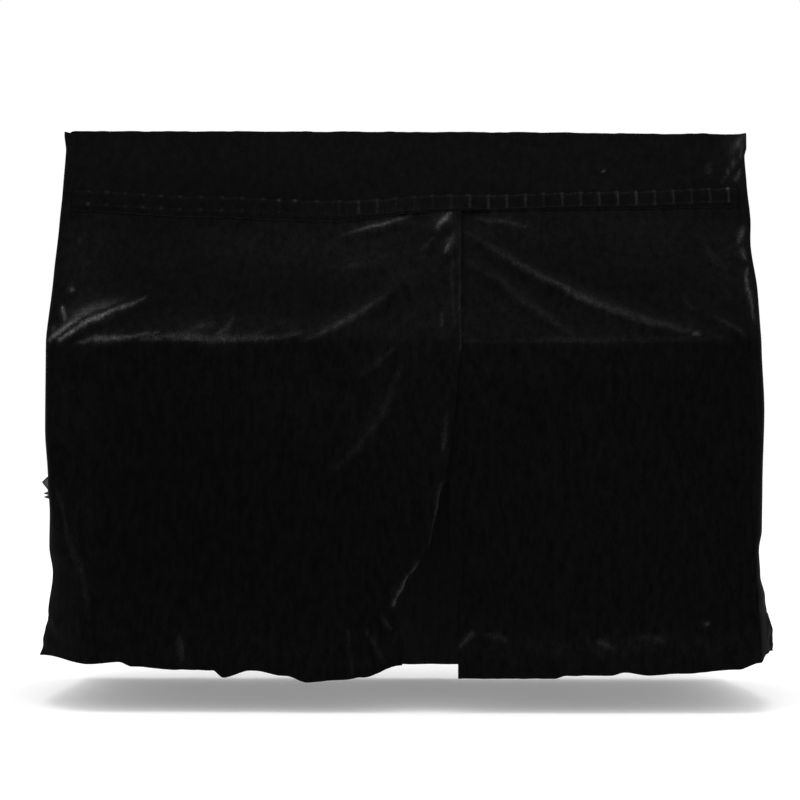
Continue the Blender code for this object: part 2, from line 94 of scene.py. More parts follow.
# Share of the rows above the ledge, and of a side panel's columns to each turn of its plan
CURTAIN_SHARE_ABOVE = 10 / 28
SIDE_SHARE_ABOVE = 14 / 32
CORNER_SHARE = 4 / 14
FLANK_SHARE = 11 / 14
BACK_CORNER_SHARE = 13 / 14


def rows_of(kind, *rows):
    """A table: each row of values as one of a kind, so that its columns have names."""
    return tuple(kind(*row) for row in rows)


# Height of the pleated strip's middle line across the front
StripPoint = namedtuple("StripPoint", "x z")
STRIP_LINE = rows_of(
    StripPoint,
    (-0.730, -0.155), (-0.450, -0.168), (-0.160, -0.178), (0.120, -0.165), (0.450, -0.156), (0.730, -0.146),
)

# How far the strip's foot is drawn up, most of all at the slit
FootLift = namedtuple("FootLift", "x up")
STRIP_FOOT = rows_of(
    FootLift,
    (-0.160, 0.000), (0.000, 0.009), (0.120, 0.011), (0.450, 0.008), (0.730, 0.003),
)

# Free edges of the two curtains at the centre slit
EdgePoint = namedtuple("EdgePoint", "z x")
LEFT_FREE_EDGE = rows_of(
    EdgePoint,
    (-0.150, 0.123), (-0.460, 0.119), (-0.585, 0.109), (-0.670, 0.100), (-0.745, 0.088), (-0.800, 0.071),
    (-0.880, 0.056), (-0.925, 0.033), (-0.975, 0.001), (-1.015, -0.018), (-1.050, -0.016), (-1.105, 0.000),
    (-1.145, -0.004),
)
RIGHT_FREE_EDGE = rows_of(
    EdgePoint,
    (-0.150, 0.096), (-0.855, 0.096), (-0.905, 0.100), (-0.950, 0.108), (-0.990, 0.114), (-1.055, 0.111),
    (-1.175, 0.115),
)

# Height of the hem along the front
HemPoint = namedtuple("HemPoint", "x z")
LEFT_HEM = rows_of(
    HemPoint,
    (-0.670, -1.148), (-0.605, -1.143), (-0.575, -1.152), (-0.487, -1.159), (-0.405, -1.160),
    (-0.383, -1.175), (-0.325, -1.160), (-0.251, -1.171), (-0.206, -1.184), (-0.126, -1.179),
    (-0.090, -1.174), (-0.005, -1.148),
)
RIGHT_HEM = rows_of(
    HemPoint,
    (0.115, -1.176), (0.318, -1.176), (0.344, -1.169), (0.439, -1.169), (0.466, -1.162), (0.519, -1.169),
    (0.583, -1.165), (0.709, -1.156), (0.754, -1.142),
)

# Plan of a side panel at some heights: the seam on the front face, the corner,
# how far behind the front the corner ends, how square it is, then the side itself
SideLevel = namedtuple("SideLevel", "z seam_x corner_x corner_depth square middle_x")
LEFT_SIDE = rows_of(
    SideLevel,
    (0.001, 0.729, 0.758, 0.022, 1.0, 0.750),
    (-0.040, 0.729, 0.752, 0.022, 1.0, 0.750),
    (-0.130, 0.729, 0.753, 0.022, 1.0, 0.750),
    (-0.210, 0.728, 0.755, 0.024, 1.0, 0.750),
    (-0.320, 0.728, 0.758, 0.026, 1.0, 0.751),
    (-0.460, 0.727, 0.762, 0.030, 0.9, 0.753),
    (-0.650, 0.730, 0.764, 0.034, 0.8, 0.756),
    (-0.760, 0.733, 0.758, 0.035, 0.8, 0.757),
    (-0.830, 0.727, 0.755, 0.040, 0.7, 0.757),
    (-0.900, 0.705, 0.758, 0.055, 0.6, 0.757),
    (-0.960, 0.678, 0.753, 0.075, 0.4, 0.758),
    (-1.050, 0.665, 0.767, 0.105, 0.3, 0.761),
    (-1.120, 0.668, 0.781, 0.130, 0.2, 0.766),
    (-1.150, 0.670, 0.786, 0.135, 0.2, 0.768),
)
RIGHT_SIDE = rows_of(
    SideLevel,
    (0.001, 0.729, 0.758, 0.022, 1.0, 0.750),
    (-0.025, 0.729, 0.757, 0.022, 1.0, 0.750),
    (-0.050, 0.729, 0.751, 0.022, 1.0, 0.750),
    (-0.110, 0.729, 0.752, 0.022, 1.0, 0.750),
    (-0.190, 0.728, 0.755, 0.023, 1.0, 0.750),
    (-0.250, 0.728, 0.751, 0.024, 1.0, 0.750),
    (-0.350, 0.728, 0.758, 0.026, 1.0, 0.751),
    (-0.460, 0.727, 0.757, 0.030, 0.9, 0.753),
    (-0.610, 0.731, 0.764, 0.034, 0.8, 0.756),
    (-0.760, 0.733, 0.761, 0.035, 0.8, 0.758),
    (-0.860, 0.737, 0.761, 0.040, 0.7, 0.760),
    (-0.905, 0.739, 0.756, 0.050, 0.7, 0.762),
    (-0.960, 0.743, 0.762, 0.072, 0.5, 0.766),
    (-1.010, 0.747, 0.775, 0.090, 0.4, 0.771),
    (-1.095, 0.753, 0.796, 0.130, 0.2, 0.778),
    (-1.140, 0.754, 0.797, 0.135, 0.2, 0.780),
)

# Hem height along each side panel, from the front seam (0) to the back seam (1)
SideHem = namedtuple("SideHem", "along z")
LEFT_SIDE_HEM = rows_of(
    SideHem,
    (0.0, -1.148), (0.2, -1.140), (0.5, -1.151), (1.0, -1.205),
)
RIGHT_SIDE_HEM = rows_of(
    SideHem,
    (0.0, -1.142), (0.1, -1.127), (0.2, -1.125), (0.5, -1.148), (1.0, -1.205),
)

# Main folds of the front, as on the solids: the line each follows, its half width and height
Fold = namedtuple("Fold", "line half_width height")
FRONT_FOLDS = rows_of(
    Fold,
    # left curtain, fan from the ledge's corner
    (((-0.745, -0.462), (-0.624, -0.401), (-0.545, -0.368)), 0.017, 0.010),
    (((-0.735, -0.372), (-0.690, -0.415), (-0.600, -0.462)), 0.030, 0.009),
    # left curtain, up to the slit
    (((-0.200, -0.456), (-0.093, -0.408), (-0.029, -0.366), (0.075, -0.314)), 0.020, 0.012),
    (((-0.160, -0.310), (-0.060, -0.292)), 0.016, 0.005),
    (((-0.110, -0.222), (0.014, -0.190), (0.070, -0.170)), 0.015, 0.007),
    (((0.055, -0.240), (0.105, -0.180)), 0.014, 0.010),
    (((0.078, -0.290), (0.110, -0.240)), 0.014, 0.008),
    # left curtain, below the ledge
    (((-0.005, -0.500), (-0.050, -0.622), (-0.094, -0.679), (-0.150, -0.740)), 0.022, 0.010),
    (((-0.095, -0.540), (-0.020, -0.470)), 0.018, 0.006),
    (((0.098, -0.560), (0.080, -0.690), (0.070, -0.760), (0.042, -0.893), (-0.028, -1.010)), 0.018, 0.010),
    # right curtain, main diagonals
    (((0.135, -0.215), (0.256, -0.303), (0.332, -0.345), (0.538, -0.433), (0.700, -0.464)), 0.017, 0.012),
    (((0.130, -0.288), (0.188, -0.325), (0.274, -0.397), (0.352, -0.450)), 0.017, 0.009),
    (((0.135, -0.184), (0.262, -0.212)), 0.013, 0.006),
    (((0.640, -0.405), (0.745, -0.466)), 0.016, 0.008),
    (((0.732, -0.215), (0.728, -0.300), (0.742, -0.430)), 0.014, 0.005),
    # soft hanging folds towards the hem
    (((-0.560, -0.700), (-0.575, -1.150)), 0.040, 0.010),
    (((-0.385, -0.760), (-0.390, -1.170)), 0.032, 0.012),
    (((-0.215, -0.800), (-0.200, -1.180)), 0.036, 0.014),
    (((-0.090, -0.960), (-0.060, -1.170)), 0.028, 0.010),
    (((0.150, -0.700), (0.160, -1.180)), 0.030, 0.010),
    (((0.330, -0.800), (0.345, -1.180)), 0.036, 0.010),
    (((0.480, -0.850), (0.470, -1.170)), 0.032, 0.008),
    (((0.620, -0.760), (0.640, -1.160)), 0.036, 0.012),
)

# Fine creases of the front, too narrow for the solids
CREASES = rows_of(
    Fold,
    (((-0.745, -0.455), (-0.700, -0.425), (-0.640, -0.388)), 0.006, 0.0030),
    (((-0.742, -0.440), (-0.705, -0.392), (-0.670, -0.360)), 0.006, 0.0026),
    (((-0.735, -0.400), (-0.715, -0.350)), 0.006, 0.0022),
    (((-0.510, -0.456), (-0.470, -0.415), (-0.455, -0.370)), 0.008, 0.0022),
    (((-0.360, -0.455), (-0.335, -0.405)), 0.007, 0.0022),
    (((-0.320, -0.455), (-0.250, -0.420)), 0.008, 0.0022),
    (((0.020, -0.330), (0.070, -0.235)), 0.006, 0.0018),
    (((-0.060, -0.262), (0.060, -0.215)), 0.008, 0.0018),
    (((0.070, -0.500), (0.075, -0.600)), 0.006, 0.0016),
    (((-0.119, -1.070), (-0.107, -1.170)), 0.004, 0.0024),
    (((-0.083, -1.070), (-0.035, -1.155)), 0.004, 0.0026),
    (((-0.050, -1.040), (-0.022, -1.075)), 0.004, 0.0024),
    (((-0.480, -1.090), (-0.470, -1.140)), 0.008, 0.0026),
    (((0.148, -1.076), (0.118, -1.110)), 0.004, 0.0028),
    (((0.205, -1.080), (0.240, -1.150)), 0.008, 0.0024),
    (((0.380, -1.085), (0.430, -1.140)), 0.010, 0.0026),
    (((0.400, -1.150), (0.455, -1.095)), 0.008, 0.0024),
    (((0.500, -1.085), (0.545, -1.105)), 0.008, 0.0024),
    (((0.625, -1.055), (0.655, -1.062)), 0.004, 0.0020),
    (((0.700, -0.330), (0.740, -0.420)), 0.008, 0.0022),
    (((0.640, -0.245), (0.672, -0.310)), 0.010, 0.0020),
    (((0.745, -0.008), (0.722, -0.050), (0.700, -0.095)), 0.006, 0.0022),
    (((0.728, -0.008), (0.695, -0.045), (0.670, -0.070)), 0.006, 0.0018),
    (((0.745, -0.045), (0.726, -0.095)), 0.005, 0.0022),
)

Ripple = namedtuple("Ripple", "length height")

# Painted highlights where the pile is bent over the front's creases: the line, its half width, and how bright it
# is along the line
PaintedHighlight = namedtuple("PaintedHighlight", "line half_width shine soft_above", defaults=(1.0,))
FRONT_PAINTED_HIGHLIGHTS = rows_of(
    PaintedHighlight,
    # left curtain, fan from the ledge's corner
    (((-0.734, -0.463), (-0.689, -0.439), (-0.642, -0.418),
      (-0.616, -0.402), (-0.574, -0.385), (-0.552, -0.372)),
     0.0028, (0.42, 0.54, 0.58, 0.40, 0.24, 0.05), 1.4),
    (((-0.753, -0.461), (-0.739, -0.452), (-0.710, -0.433), (-0.679, -0.418)),
     0.0032, (0.40, 0.48, 0.46, 0.14), 2.0),
    (((-0.709, -0.426), (-0.664, -0.399), (-0.624, -0.385), (-0.600, -0.375)),
     0.0085, (0.16, 0.17, 0.12, 0.02), 1.6),
    (((-0.729, -0.395), (-0.721, -0.423)), 0.0040, (0.34, 0.22)),
    (((-0.715, -0.357), (-0.713, -0.351)), 0.0042, (0.20, 0.20)),
    (((-0.746, -0.432), (-0.746, -0.451)), 0.0055, (0.10, 0.12)),
    (((-0.708, -0.248), (-0.706, -0.241)), 0.0040, (0.03, 0.03)),
    # left curtain, ledge line
    (((-0.699, -0.469), (-0.669, -0.461), (-0.618, -0.460), (-0.579, -0.456)),
     0.0034, (0.05, 0.24, 0.28, 0.20), 1.3),
    (((-0.577, -0.456), (-0.539, -0.450), (-0.521, -0.447)), 0.0036, (0.12, 0.14, 0.06), 1.3),
    (((-0.558, -0.460), (-0.479, -0.457), (-0.411, -0.462),
      (-0.354, -0.459), (-0.264, -0.455), (-0.222, -0.445)),
     0.0036, (0.07, 0.10, 0.13, 0.10, 0.07, 0.04), 2.6),
    (((-0.470, -0.453), (-0.440, -0.438), (-0.407, -0.423)), 0.0080, (0.045, 0.055, 0.025)),
    (((-0.411, -0.463), (-0.378, -0.438), (-0.364, -0.408)), 0.0048, (0.12, 0.065, 0.015)),
    (((-0.208, -0.458), (-0.152, -0.437), (-0.095, -0.409), (-0.067, -0.388), (-0.039, -0.370)),
     0.0055, (0.045, 0.070, 0.080, 0.048, 0.012), 1.4),
    # left curtain, towards the slit
    (((-0.150, -0.318), (-0.115, -0.302), (-0.070, -0.293)), 0.0080, (0.012, 0.026, 0.010)),
    (((-0.141, -0.232), (-0.092, -0.219), (-0.059, -0.209), (-0.025, -0.199), (0.014, -0.185)),
     0.0038, (0.006, 0.10, 0.22, 0.16, 0.07)),
    (((0.062, -0.242), (0.031, -0.270)), 0.0036, (0.040, 0.020)),
    (((0.099, -0.180), (0.085, -0.197), (0.071, -0.221)), 0.0062, (0.22, 0.30, 0.20)),
    (((0.105, -0.236), (0.097, -0.255), (0.087, -0.274)), 0.0075, (0.05, 0.08, 0.06)),
    (((0.094, -0.259), (0.087, -0.275)), 0.0034, (0.20, 0.22)),
    (((0.118, -0.216), (0.118, -0.350), (0.118, -0.480)), 0.0025, (0.020, 0.030, 0.055)),
    (((0.103, -0.289), (0.101, -0.330), (0.105, -0.433)), 0.0030, (0.035, 0.025, 0.030)),
    (((0.078, -0.407), (0.078, -0.433)), 0.0035, (0.055, 0.055)),
    # left curtain, below the ledge
    (((-0.014, -0.527), (-0.050, -0.622), (-0.094, -0.679), (-0.147, -0.732)),
     0.0085, (0.018, 0.024, 0.020, 0.014)),
    (((-0.088, -0.531), (-0.024, -0.478)), 0.0070, (0.014, 0.026)),
    (((0.088, -0.618), (0.082, -0.690)), 0.0040, (0.028, 0.052)),
    (((0.077, -0.760), (0.067, -0.830), (0.055, -0.893), (0.034, -0.925)),
     0.0035, (0.05, 0.10, 0.10, 0.035)),
    (((0.030, -0.930), (0.003, -0.972), (-0.022, -1.018)), 0.0042, (0.03, 0.21, 0.17)),
    (((-0.048, -1.045), (-0.026, -1.072)), 0.0032, (0.030, 0.034)),
    (((-0.119, -1.074), (-0.109, -1.165)), 0.0035, (0.022, 0.022)),
    (((-0.081, -1.074), (-0.035, -1.153)), 0.0035, (0.030, 0.026)),
    (((-0.476, -1.095), (-0.470, -1.135)), 0.0065, (0.022, 0.055)),
    (((-0.733, -0.787), (-0.707, -0.897), (-0.680, -0.956), (-0.667, -1.051)),
     0.0055, (0.025, 0.026, 0.026, 0.02)),
    # right curtain, its diagonals
    (((0.150, -0.191), (0.204, -0.199), (0.263, -0.211)), 0.0055, (0.010, 0.050, 0.035)),
    (((0.134, -0.225), (0.176, -0.254), (0.213, -0.277), (0.255, -0.304), (0.286, -0.323), (0.326, -0.342)),
     0.0052, (0.018, 0.026, 0.036, 0.048, 0.064, 0.090), 1.3),
    (((0.326, -0.342), (0.369, -0.369), (0.411, -0.385), (0.462, -0.406), (0.514, -0.426), (0.622, -0.453)),
     0.0052, (0.090, 0.100, 0.078, 0.056, 0.046, 0.026), 1.8),
    (((0.133, -0.293), (0.165, -0.312), (0.201, -0.331), (0.238, -0.369), (0.294, -0.406), (0.351, -0.443)),
     0.0080, (0.008, 0.014, 0.018, 0.020, 0.030, 0.018), 1.3),
    # right curtain, ledge line and right edge
    (((0.126, -0.462), (0.230, -0.461), (0.300, -0.459), (0.420, -0.461), (0.560, -0.459), (0.668, -0.459)),
     0.0035, (0.020, 0.012, 0.035, 0.022, 0.015, 0.025), 2.0),
    (((0.610, -0.452), (0.624, -0.450)), 0.0035, (0.15, 0.15)),
    (((0.656, -0.411), (0.716, -0.448)), 0.0045, (0.022, 0.038)),
    (((0.652, -0.254), (0.673, -0.298)), 0.0070, (0.018, 0.016)),
    (((0.596, -0.368), (0.615, -0.395)), 0.0060, (0.015, 0.015)),
    (((0.735, -0.212), (0.725, -0.243)), 0.0055, (0.10, 0.14)),
    (((0.729, -0.259), (0.733, -0.281)), 0.0055, (0.10, 0.13)),
    (((0.738, -0.303), (0.732, -0.325), (0.737, -0.362), (0.742, -0.416)),
     0.0038, (0.12, 0.18, 0.18, 0.12)),
    # right curtain, its hem
    (((0.145, -1.079), (0.119, -1.106)), 0.0038, (0.12, 0.06)),
    (((0.170, -1.082), (0.215, -1.092)), 0.0060, (0.030, 0.050)),
    (((0.415, -1.100), (0.440, -1.108)), 0.0075, (0.060, 0.060)),
    (((0.500, -1.086), (0.545, -1.092)), 0.0085, (0.034, 0.028)),
    (((0.636, -1.057), (0.643, -1.057)), 0.0030, (0.140, 0.140)),
    # band, its right end
    (((0.750, -0.004), (0.740, -0.018), (0.724, -0.040)), 0.0090, (0.12, 0.12, 0.04)),
    (((0.747, -0.018), (0.740, -0.054)), 0.0042, (0.10, 0.08)),
    (((0.726, -0.057), (0.722, -0.077)), 0.0038, (0.11, 0.10)),
    (((0.713, -0.079), (0.709, -0.092)), 0.0036, (0.08, 0.07)),
    (((0.704, -0.096), (0.697, -0.109)), 0.0036, (0.05, 0.04)),
    (((0.736, -0.085), (0.726, -0.108)), 0.0038, (0.16, 0.13)),
    (((0.672, -0.068), (0.666, -0.087)), 0.0080, (0.028, 0.034)),
    # one speck of fluff on the band
    (((0.437, -0.083), (0.439, -0.084)), 0.0017, (0.26, 0.26)),
)
HIGHLIGHT_END_WIDTH = 0.62   # of a painted highlight's half width, left at its two ends
HALO_SHARE = 0.12        # of a painted highlight's brightness, spread beside it as a painted halo
HALO_WIDTH = 3.2         # in half widths
FINE_WOBBLE = (Ripple(0.045, 0.0008), Ripple(0.017, 0.0005))  # how a painted highlight strays from its line
HEM_PAINTED_SHEEN = 0.004         # painted sheen of the right curtain's crumpled hem
SMOOTH_HEM_SHARE = 0.5   # of that painted sheen on the left curtain and the sides
BACK_HEM_SHARE = 0.3     # and on the back
PLAIN_PAINTED_SHEEN = 0.003        # painted sheen of the panels that have no patches of their own

# Painted sheen over wide patches, where the nap lies flatter: its middle, its half sizes, and how much it shines
PaintedSheenPatch = namedtuple("PaintedSheenPatch", "x z across down shine")
PAINTED_SHEEN_PATCHES = rows_of(
    PaintedSheenPatch,
    # band
    (-0.62, -0.05, 0.20, 0.08, 0.005),
    (-0.30, -0.03, 0.22, 0.06, 0.003),
    (-0.05, -0.05, 0.35, 0.10, 0.004),
    (0.45, -0.06, 0.40, 0.14, 0.006),
    (0.73, -0.04, 0.035, 0.05, 0.014),
    # slanted cloth, left curtain
    (-0.69, -0.26, 0.07, 0.09, 0.009),
    (-0.19, -0.25, 0.20, 0.06, 0.011),
    (-0.693, -0.413, 0.026, 0.014, 0.040),
    (-0.60, -0.32, 0.12, 0.05, 0.003),
    (-0.39, -0.27, 0.11, 0.06, 0.005),
    (0.00, -0.33, 0.14, 0.13, 0.008),
    (-0.31, -0.430, 0.22, 0.028, 0.009),
    # slanted cloth, right curtain
    (0.27, -0.22, 0.16, 0.045, 0.009),
    (0.53, -0.24, 0.09, 0.07, 0.010),
    (0.69, -0.28, 0.06, 0.10, 0.010),
    (0.22, -0.405, 0.14, 0.05, 0.006),
    (0.46, -0.44, 0.20, 0.03, 0.003),
    # hanging cloth, left curtain
    (-0.71, -0.75, 0.07, 0.45, 0.006),
    (-0.28, -0.52, 0.45, 0.10, 0.004),
    (0.02, -0.60, 0.14, 0.30, 0.003),
    (-0.20, -0.62, 0.15, 0.08, 0.004),
    (-0.35, -1.12, 0.45, 0.10, 0.004),
    # hanging cloth, right curtain
    (0.42, -0.62, 0.48, 0.24, 0.004),
    (0.42, -1.00, 0.48, 0.26, 0.004),
    (0.40, -0.50, 0.40, 0.04, 0.003),
    (0.77, -0.75, 0.03, 0.40, 0.010),
    (0.45, -1.10, 0.30, 0.035, 0.006),
)

# Painted highlight of each pleat from the left: on its folded edge, and on the stitches drawn in at its top and
# foot
PleatHighlight = namedtuple("PleatHighlight", "edge top foot")
PLEAT_PAINTED_HIGHLIGHTS = rows_of(
    PleatHighlight,
    (0.00, 0.04, 0.12), (0.00, 0.05, 0.05), (0.00, 0.03, 0.04), (0.00, 0.05, 0.07), (0.00, 0.07, 0.06),
    (0.00, 0.05, 0.04), (0.00, 0.04, 0.03), (0.00, 0.07, 0.03), (0.00, 0.05, 0.02), (0.00, 0.06, 0.00),
    (0.01, 0.12, 0.00), (0.00, 0.10, 0.00), (0.01, 0.11, 0.00), (0.02, 0.05, 0.00), (0.05, 0.09, 0.02),
    (0.04, 0.06, 0.02), (0.02, 0.06, 0.00), (0.01, 0.06, 0.02), (0.02, 0.05, 0.02), (0.02, 0.06, 0.04),
    (0.06, 0.05, 0.03), (0.07, 0.10, 0.08), (0.05, 0.05, 0.02), (0.06, 0.05, 0.03), (0.04, 0.06, 0.03),
    (0.06, 0.08, 0.04), (0.05, 0.09, 0.06), (0.06, 0.10, 0.04), (0.09, 0.10, 0.06), (0.10, 0.13, 0.06),
    (0.04, 0.11, 0.09), (0.06, 0.07, 0.05), (0.03, 0.05, 0.05), (0.04, 0.07, 0.05), (0.06, 0.28, 0.04),
)

# How far the pleats drift towards the left, in pitches, along the strip
PleatDrift = namedtuple("PleatDrift", "along pitches")
PLEAT_DRIFTS = rows_of(
    PleatDrift,
    (0.00, 0.60), (0.15, 0.66), (0.24, 0.34), (0.29, 0.14), (0.33, 0.44), (0.37, 0.25), (0.41, 0.00),
    (1.00, 0.00),
)
PLEAT_EDGE = 0.80        # share of the pitch at which the folded edge lies
PLEAT_EDGE_WIDTH = 0.055  # half width of that edge, also a share of the pitch
PLEAT_SHIFT = 0.30       # share of a pitch by which the first pleat is cut short
PLEAT_CURVE = 1.6        # how late a pleat rises towards its folded edge
PLEAT_EVENNESS = 0.72    # share of their height that all pleats have
PLEAT_SCALLOP = 0.002
STRIP_MARGIN = 0.002     # of bare cloth kept flat below the strip
LOOSE_PILE = (Ripple(0.009, 0.9), Ripple(0.005, 0.7))  # where the painted sheen of the ruffled pile beside the stitches lies
LOOSE_PAINTED_SHEEN = 0.022      # painted sheen of that pile
FOOT_PAINTED_LIGHT = 0.028         # painted light on the strip's cut foot, lifting the shade there
STRIP_PAINTED_SHADE = 0.8        # painted shade: how much the strip's painted sheen is dimmed below its lower stitches
STRIP_END_SHEEN = 0.35     # share of the painted sheen left at the strip's ends
STRIP_SHEEN_X = -0.060     # where the strip keeps all of it
STRIP_SHEEN_HALF_WIDTH = 0.170

# Places and half widths across the strip, from 1 at its top edge to -1 at its foot
TOP_STITCHES = 0.88
FOOT_STITCHES = -0.32
STITCH_DIP = 0.0007      # how deep the stitches draw the pleats in, in metres
STITCH_DIP_WIDTH = 0.10
FOLD_FADE = (0.10, 0.12)  # where the painted highlight on the folded edge ends below the lower stitches, and its run
DOT_SHIFT = 0.02         # of the painted highlight on a drawn-in stitch from the folded edge, as a share of the pitch
DOT_WIDTH = 0.085
TOP_DOT_SHIFT = 0.06
TOP_DOT_WIDTH = 0.12
FOOT_DOT_WIDTH = 0.13
TOP_SEAM_WIDTH = 0.06
FOOT_SEAM_WIDTH = 0.07
TOP_PILE_WIDTH = 0.22
FOOT_PILE_WIDTH = 0.25
SEAM_HIGHLIGHT_TURNS = (331.0, 97.0, 713.0)  # how fast the painted highlight of the stitches changes, in radians a metre
SEAM_HIGHLIGHT_LEVELS = (0.62, 0.38, 0.35)
SEAM_HIGHLIGHT_RANGE = (0.1, 1.2)

# Along the strip: the step where it runs over both curtains, and the painted highlight of its two seams
AlongStrip = namedtuple("AlongStrip", "x amount")
STRIP_STEP = rows_of(AlongStrip, (-0.030, 0.0), (0.010, 1.0), (0.145, 1.0), (0.175, 0.0))
TOP_SEAM_PAINTED_HIGHLIGHT = rows_of(AlongStrip, (-0.220, 0.008), (-0.170, 0.028), (0.060, 0.028), (0.120, 0.050))
FOOT_SEAM_PAINTED_HIGHLIGHT = rows_of(AlongStrip, (0.060, 0.0), (0.120, 0.016))

# Rise of the seam along the lid's front edge
EdgeRise = namedtuple("EdgeRise", "x rise")
TOP_EDGE = rows_of(
    EdgeRise,
    (-0.750, 0.0033), (-0.100, 0.0033), (0.050, 0.0024), (0.300, 0.0026), (0.450, 0.0008), (0.600, -0.0004),
    (0.740, -0.0016),
)
TOP_EDGE_BUMPS = (Ripple(0.070, 0.00045), Ripple(0.028, 0.00030))

# Hanging folds of the sides and the back: place along the panel, lean, half width, height
HangFold = namedtuple("HangFold", "along lean half_width height")
SIDE_FOLDS = rows_of(
    HangFold,
    (0.34, 0.05, 0.035, 0.010), (0.55, -0.02, 0.040, 0.012), (0.76, 0.03, 0.035, 0.009),
)
BACK_FOLDS = rows_of(
    HangFold,
    (0.14, 0.02, 0.030, 0.010), (0.33, -0.03, 0.036, 0.012), (0.52, 0.02, 0.032, 0.010),
    (0.70, 0.03, 0.036, 0.012), (0.88, -0.02, 0.030, 0.010),
)

# Unevenness of the cloth, as long waves added together: wavelength, height
BROAD_RIPPLES = (Ripple(0.42, 0.0028), Ripple(0.17, 0.0014))
FINE_RIPPLES = (Ripple(0.060, 0.00050), Ripple(0.026, 0.00022))
HEM_RIPPLES = (Ripple(0.055, 0.0016), Ripple(0.028, 0.0009))
HEM_LINE_WAVES = (Ripple(0.30, 0.004),)  # ups and downs of the hem's line of stitches
WAVES_PER_RIPPLE = 7

# Stitch lines and rolled edges
RUNNING_STITCH = (0.0040, 0.0022, 0.00045)  # length, gap and half thickness of the strip's stitches
STITCH_GROOVE = 0.0012
STITCH_HALF_WIDTH = 0.0025
EDGE_ROLL = 0.0008
EDGE_ROLL_WIDTH = 0.0035
FREE_EDGE_LINES = (0.013, 0.036)  # distances of its two lines of stitches from the left curtain's free edge
FREE_EDGE_TURN = 0.016   # width of that edge's turned hem
FREE_EDGE_SOFTNESS = 0.004

# Side panels: where their folds begin, what they measure round, and the pinched ear at the top corner
SIDE_HANG_START = -0.12
SIDE_HANG_RUN = 0.9
FLANK_FADE = 0.12        # share of the panel in which its ripples fade towards the corners
PANEL_WIDTH = 0.6
CORNER_WIDTH = 0.35
EAR_RISE = 0.004
EAR_PLACE = 0.7          # share of the corner's turn at which it stands
EAR_WIDTH = 0.10
EAR_DEPTH = 0.030

# How a side panel's seam allowances lie behind the front's cut edge and inside the back's
SEAM_TUCK_SHARE = 0.011
SEAM_TUCK_IN = 0.0022
BACK_TUCK = 0.0026       # how far the back seam's allowance lies inside the back
SEAM_TUCK_BACK = 0.0016

# Ribbon end at the left edge
TIE_TOP_Z = -0.752
TIE_TIP_Z = -0.763
TIE_TIP_OUT = 0.012
TIE_TURN_Z = -0.779
TIE_TAIL_OUT = 0.010
TIE_CLEARANCE = 0.0014
TIE_CURL = 0.002
TIE_THICK = 0.0012
TIE_FOOT_Z = -0.799
TIE_STRANDS = (-0.787, -0.795)  # heights of the tail's two frayed strands
TIE_STRAND_HALF = 0.0032

# Faces of each finished sheet, across and down
SHEET_FACES = {
    "lid_velvet": (150, 60),
    "band_velvet": (240, 44),
    "left_curtain_velvet": (246, 196),
    "right_curtain_velvet": (200, 190),
    "left_side_velvet": (98, 176),
    "right_side_velvet": (98, 176),
    "back_velvet": (170, 90),
    "tie_ribbon": (8, 60),
}
FACES_PER_PLEAT = 14
STRIP_ROWS = 22
STRIP_CLOTH = 0.0013     # thickness of the strip's thinner velvet
FLAP_STANDOFF = 0.0019   # of the strip's flat foot, from the middle of the cloth under it


class CoverSizes(bpy.types.PropertyGroup):
    """Sizes of the cover that a maker would change"""

    cloth: FloatProperty(name="Cloth", description="Thickness of the velvet", default=0.002, subtype="DISTANCE")
    hem_cloth: FloatProperty(
        name="Hem cloth", description="Thickness of a turned hem", default=0.0034, subtype="DISTANCE"
    )
    hem_depth: FloatProperty(
        name="Hem depth", description="Depth of the turned hem", default=0.088, subtype="DISTANCE"
    )
    lid_half_width: FloatProperty(
        name="Half width", description="Half of the width across the top", default=0.750, subtype="DISTANCE"
    )
    lid_forward: FloatProperty(
        name="Lid", description="From the middle to the lid's front edge", default=0.180, subtype="DISTANCE"
    )
    ledge_forward: FloatProperty(
        name="Ledge", description="From the middle to the ledge", default=0.462, subtype="DISTANCE"
    )
    ledge_z: FloatProperty(
        name="Ledge height", description="Height of the ledge, from the top", default=-0.460, subtype="DISTANCE"
    )
    hem_z: FloatProperty(
        name="Hem height", description="Height of the back's hem", default=-1.205, subtype="DISTANCE"
    )
    tent_sag: FloatProperty(
        name="Sag", description="How far the slanted front hangs in", default=0.015, subtype="DISTANCE"
    )
    pleats: IntProperty(name="Pleats", description="Number of pleats in the strip", default=36)
    pleat_rise: FloatProperty(
        name="Pleat rise", description="Height of a pleat's folded edge", default=0.0045, subtype="DISTANCE"
    )
    strip_height: FloatProperty(
        name="Strip", description="Height of the pleated strip", default=0.046, subtype="DISTANCE"
    )
    strip_standoff: FloatProperty(
        name="Strip standoff", description="From the cloth under the strip", default=0.0028, subtype="DISTANCE"
    )


class CoverColours(bpy.types.PropertyGroup):
    """Colours of the cover, as sRGB hex values"""

    velvet: StringProperty(name="Velvet", description="Velvet seen into the pile", default="#030303")
    velvet_worn: StringProperty(name="Brushed", description="Velvet, its pile brushed aside", default="#080808")
    # Colour of the painted highlights and painted sheen mixed into the velvet
    gleam: StringProperty(name="PaintedHighlight", description="Pile bent over a crease", default="#5A5A5A")
    lining: StringProperty(name="Wrong side", description="Ground weave on the inside", default="#222222")
    lining_dark: StringProperty(name="Unrubbed", description="Ground weave where it is darker", default="#1A1A1A")
    thread: StringProperty(name="Thread", description="Sewing thread", default="#0D0D0D")
    ribbon: StringProperty(name="Ribbon", description="Grey satin ribbon", default="#383838")
    floor: StringProperty(name="Floor", description="Pale studio floor", default="#F4F4F4")


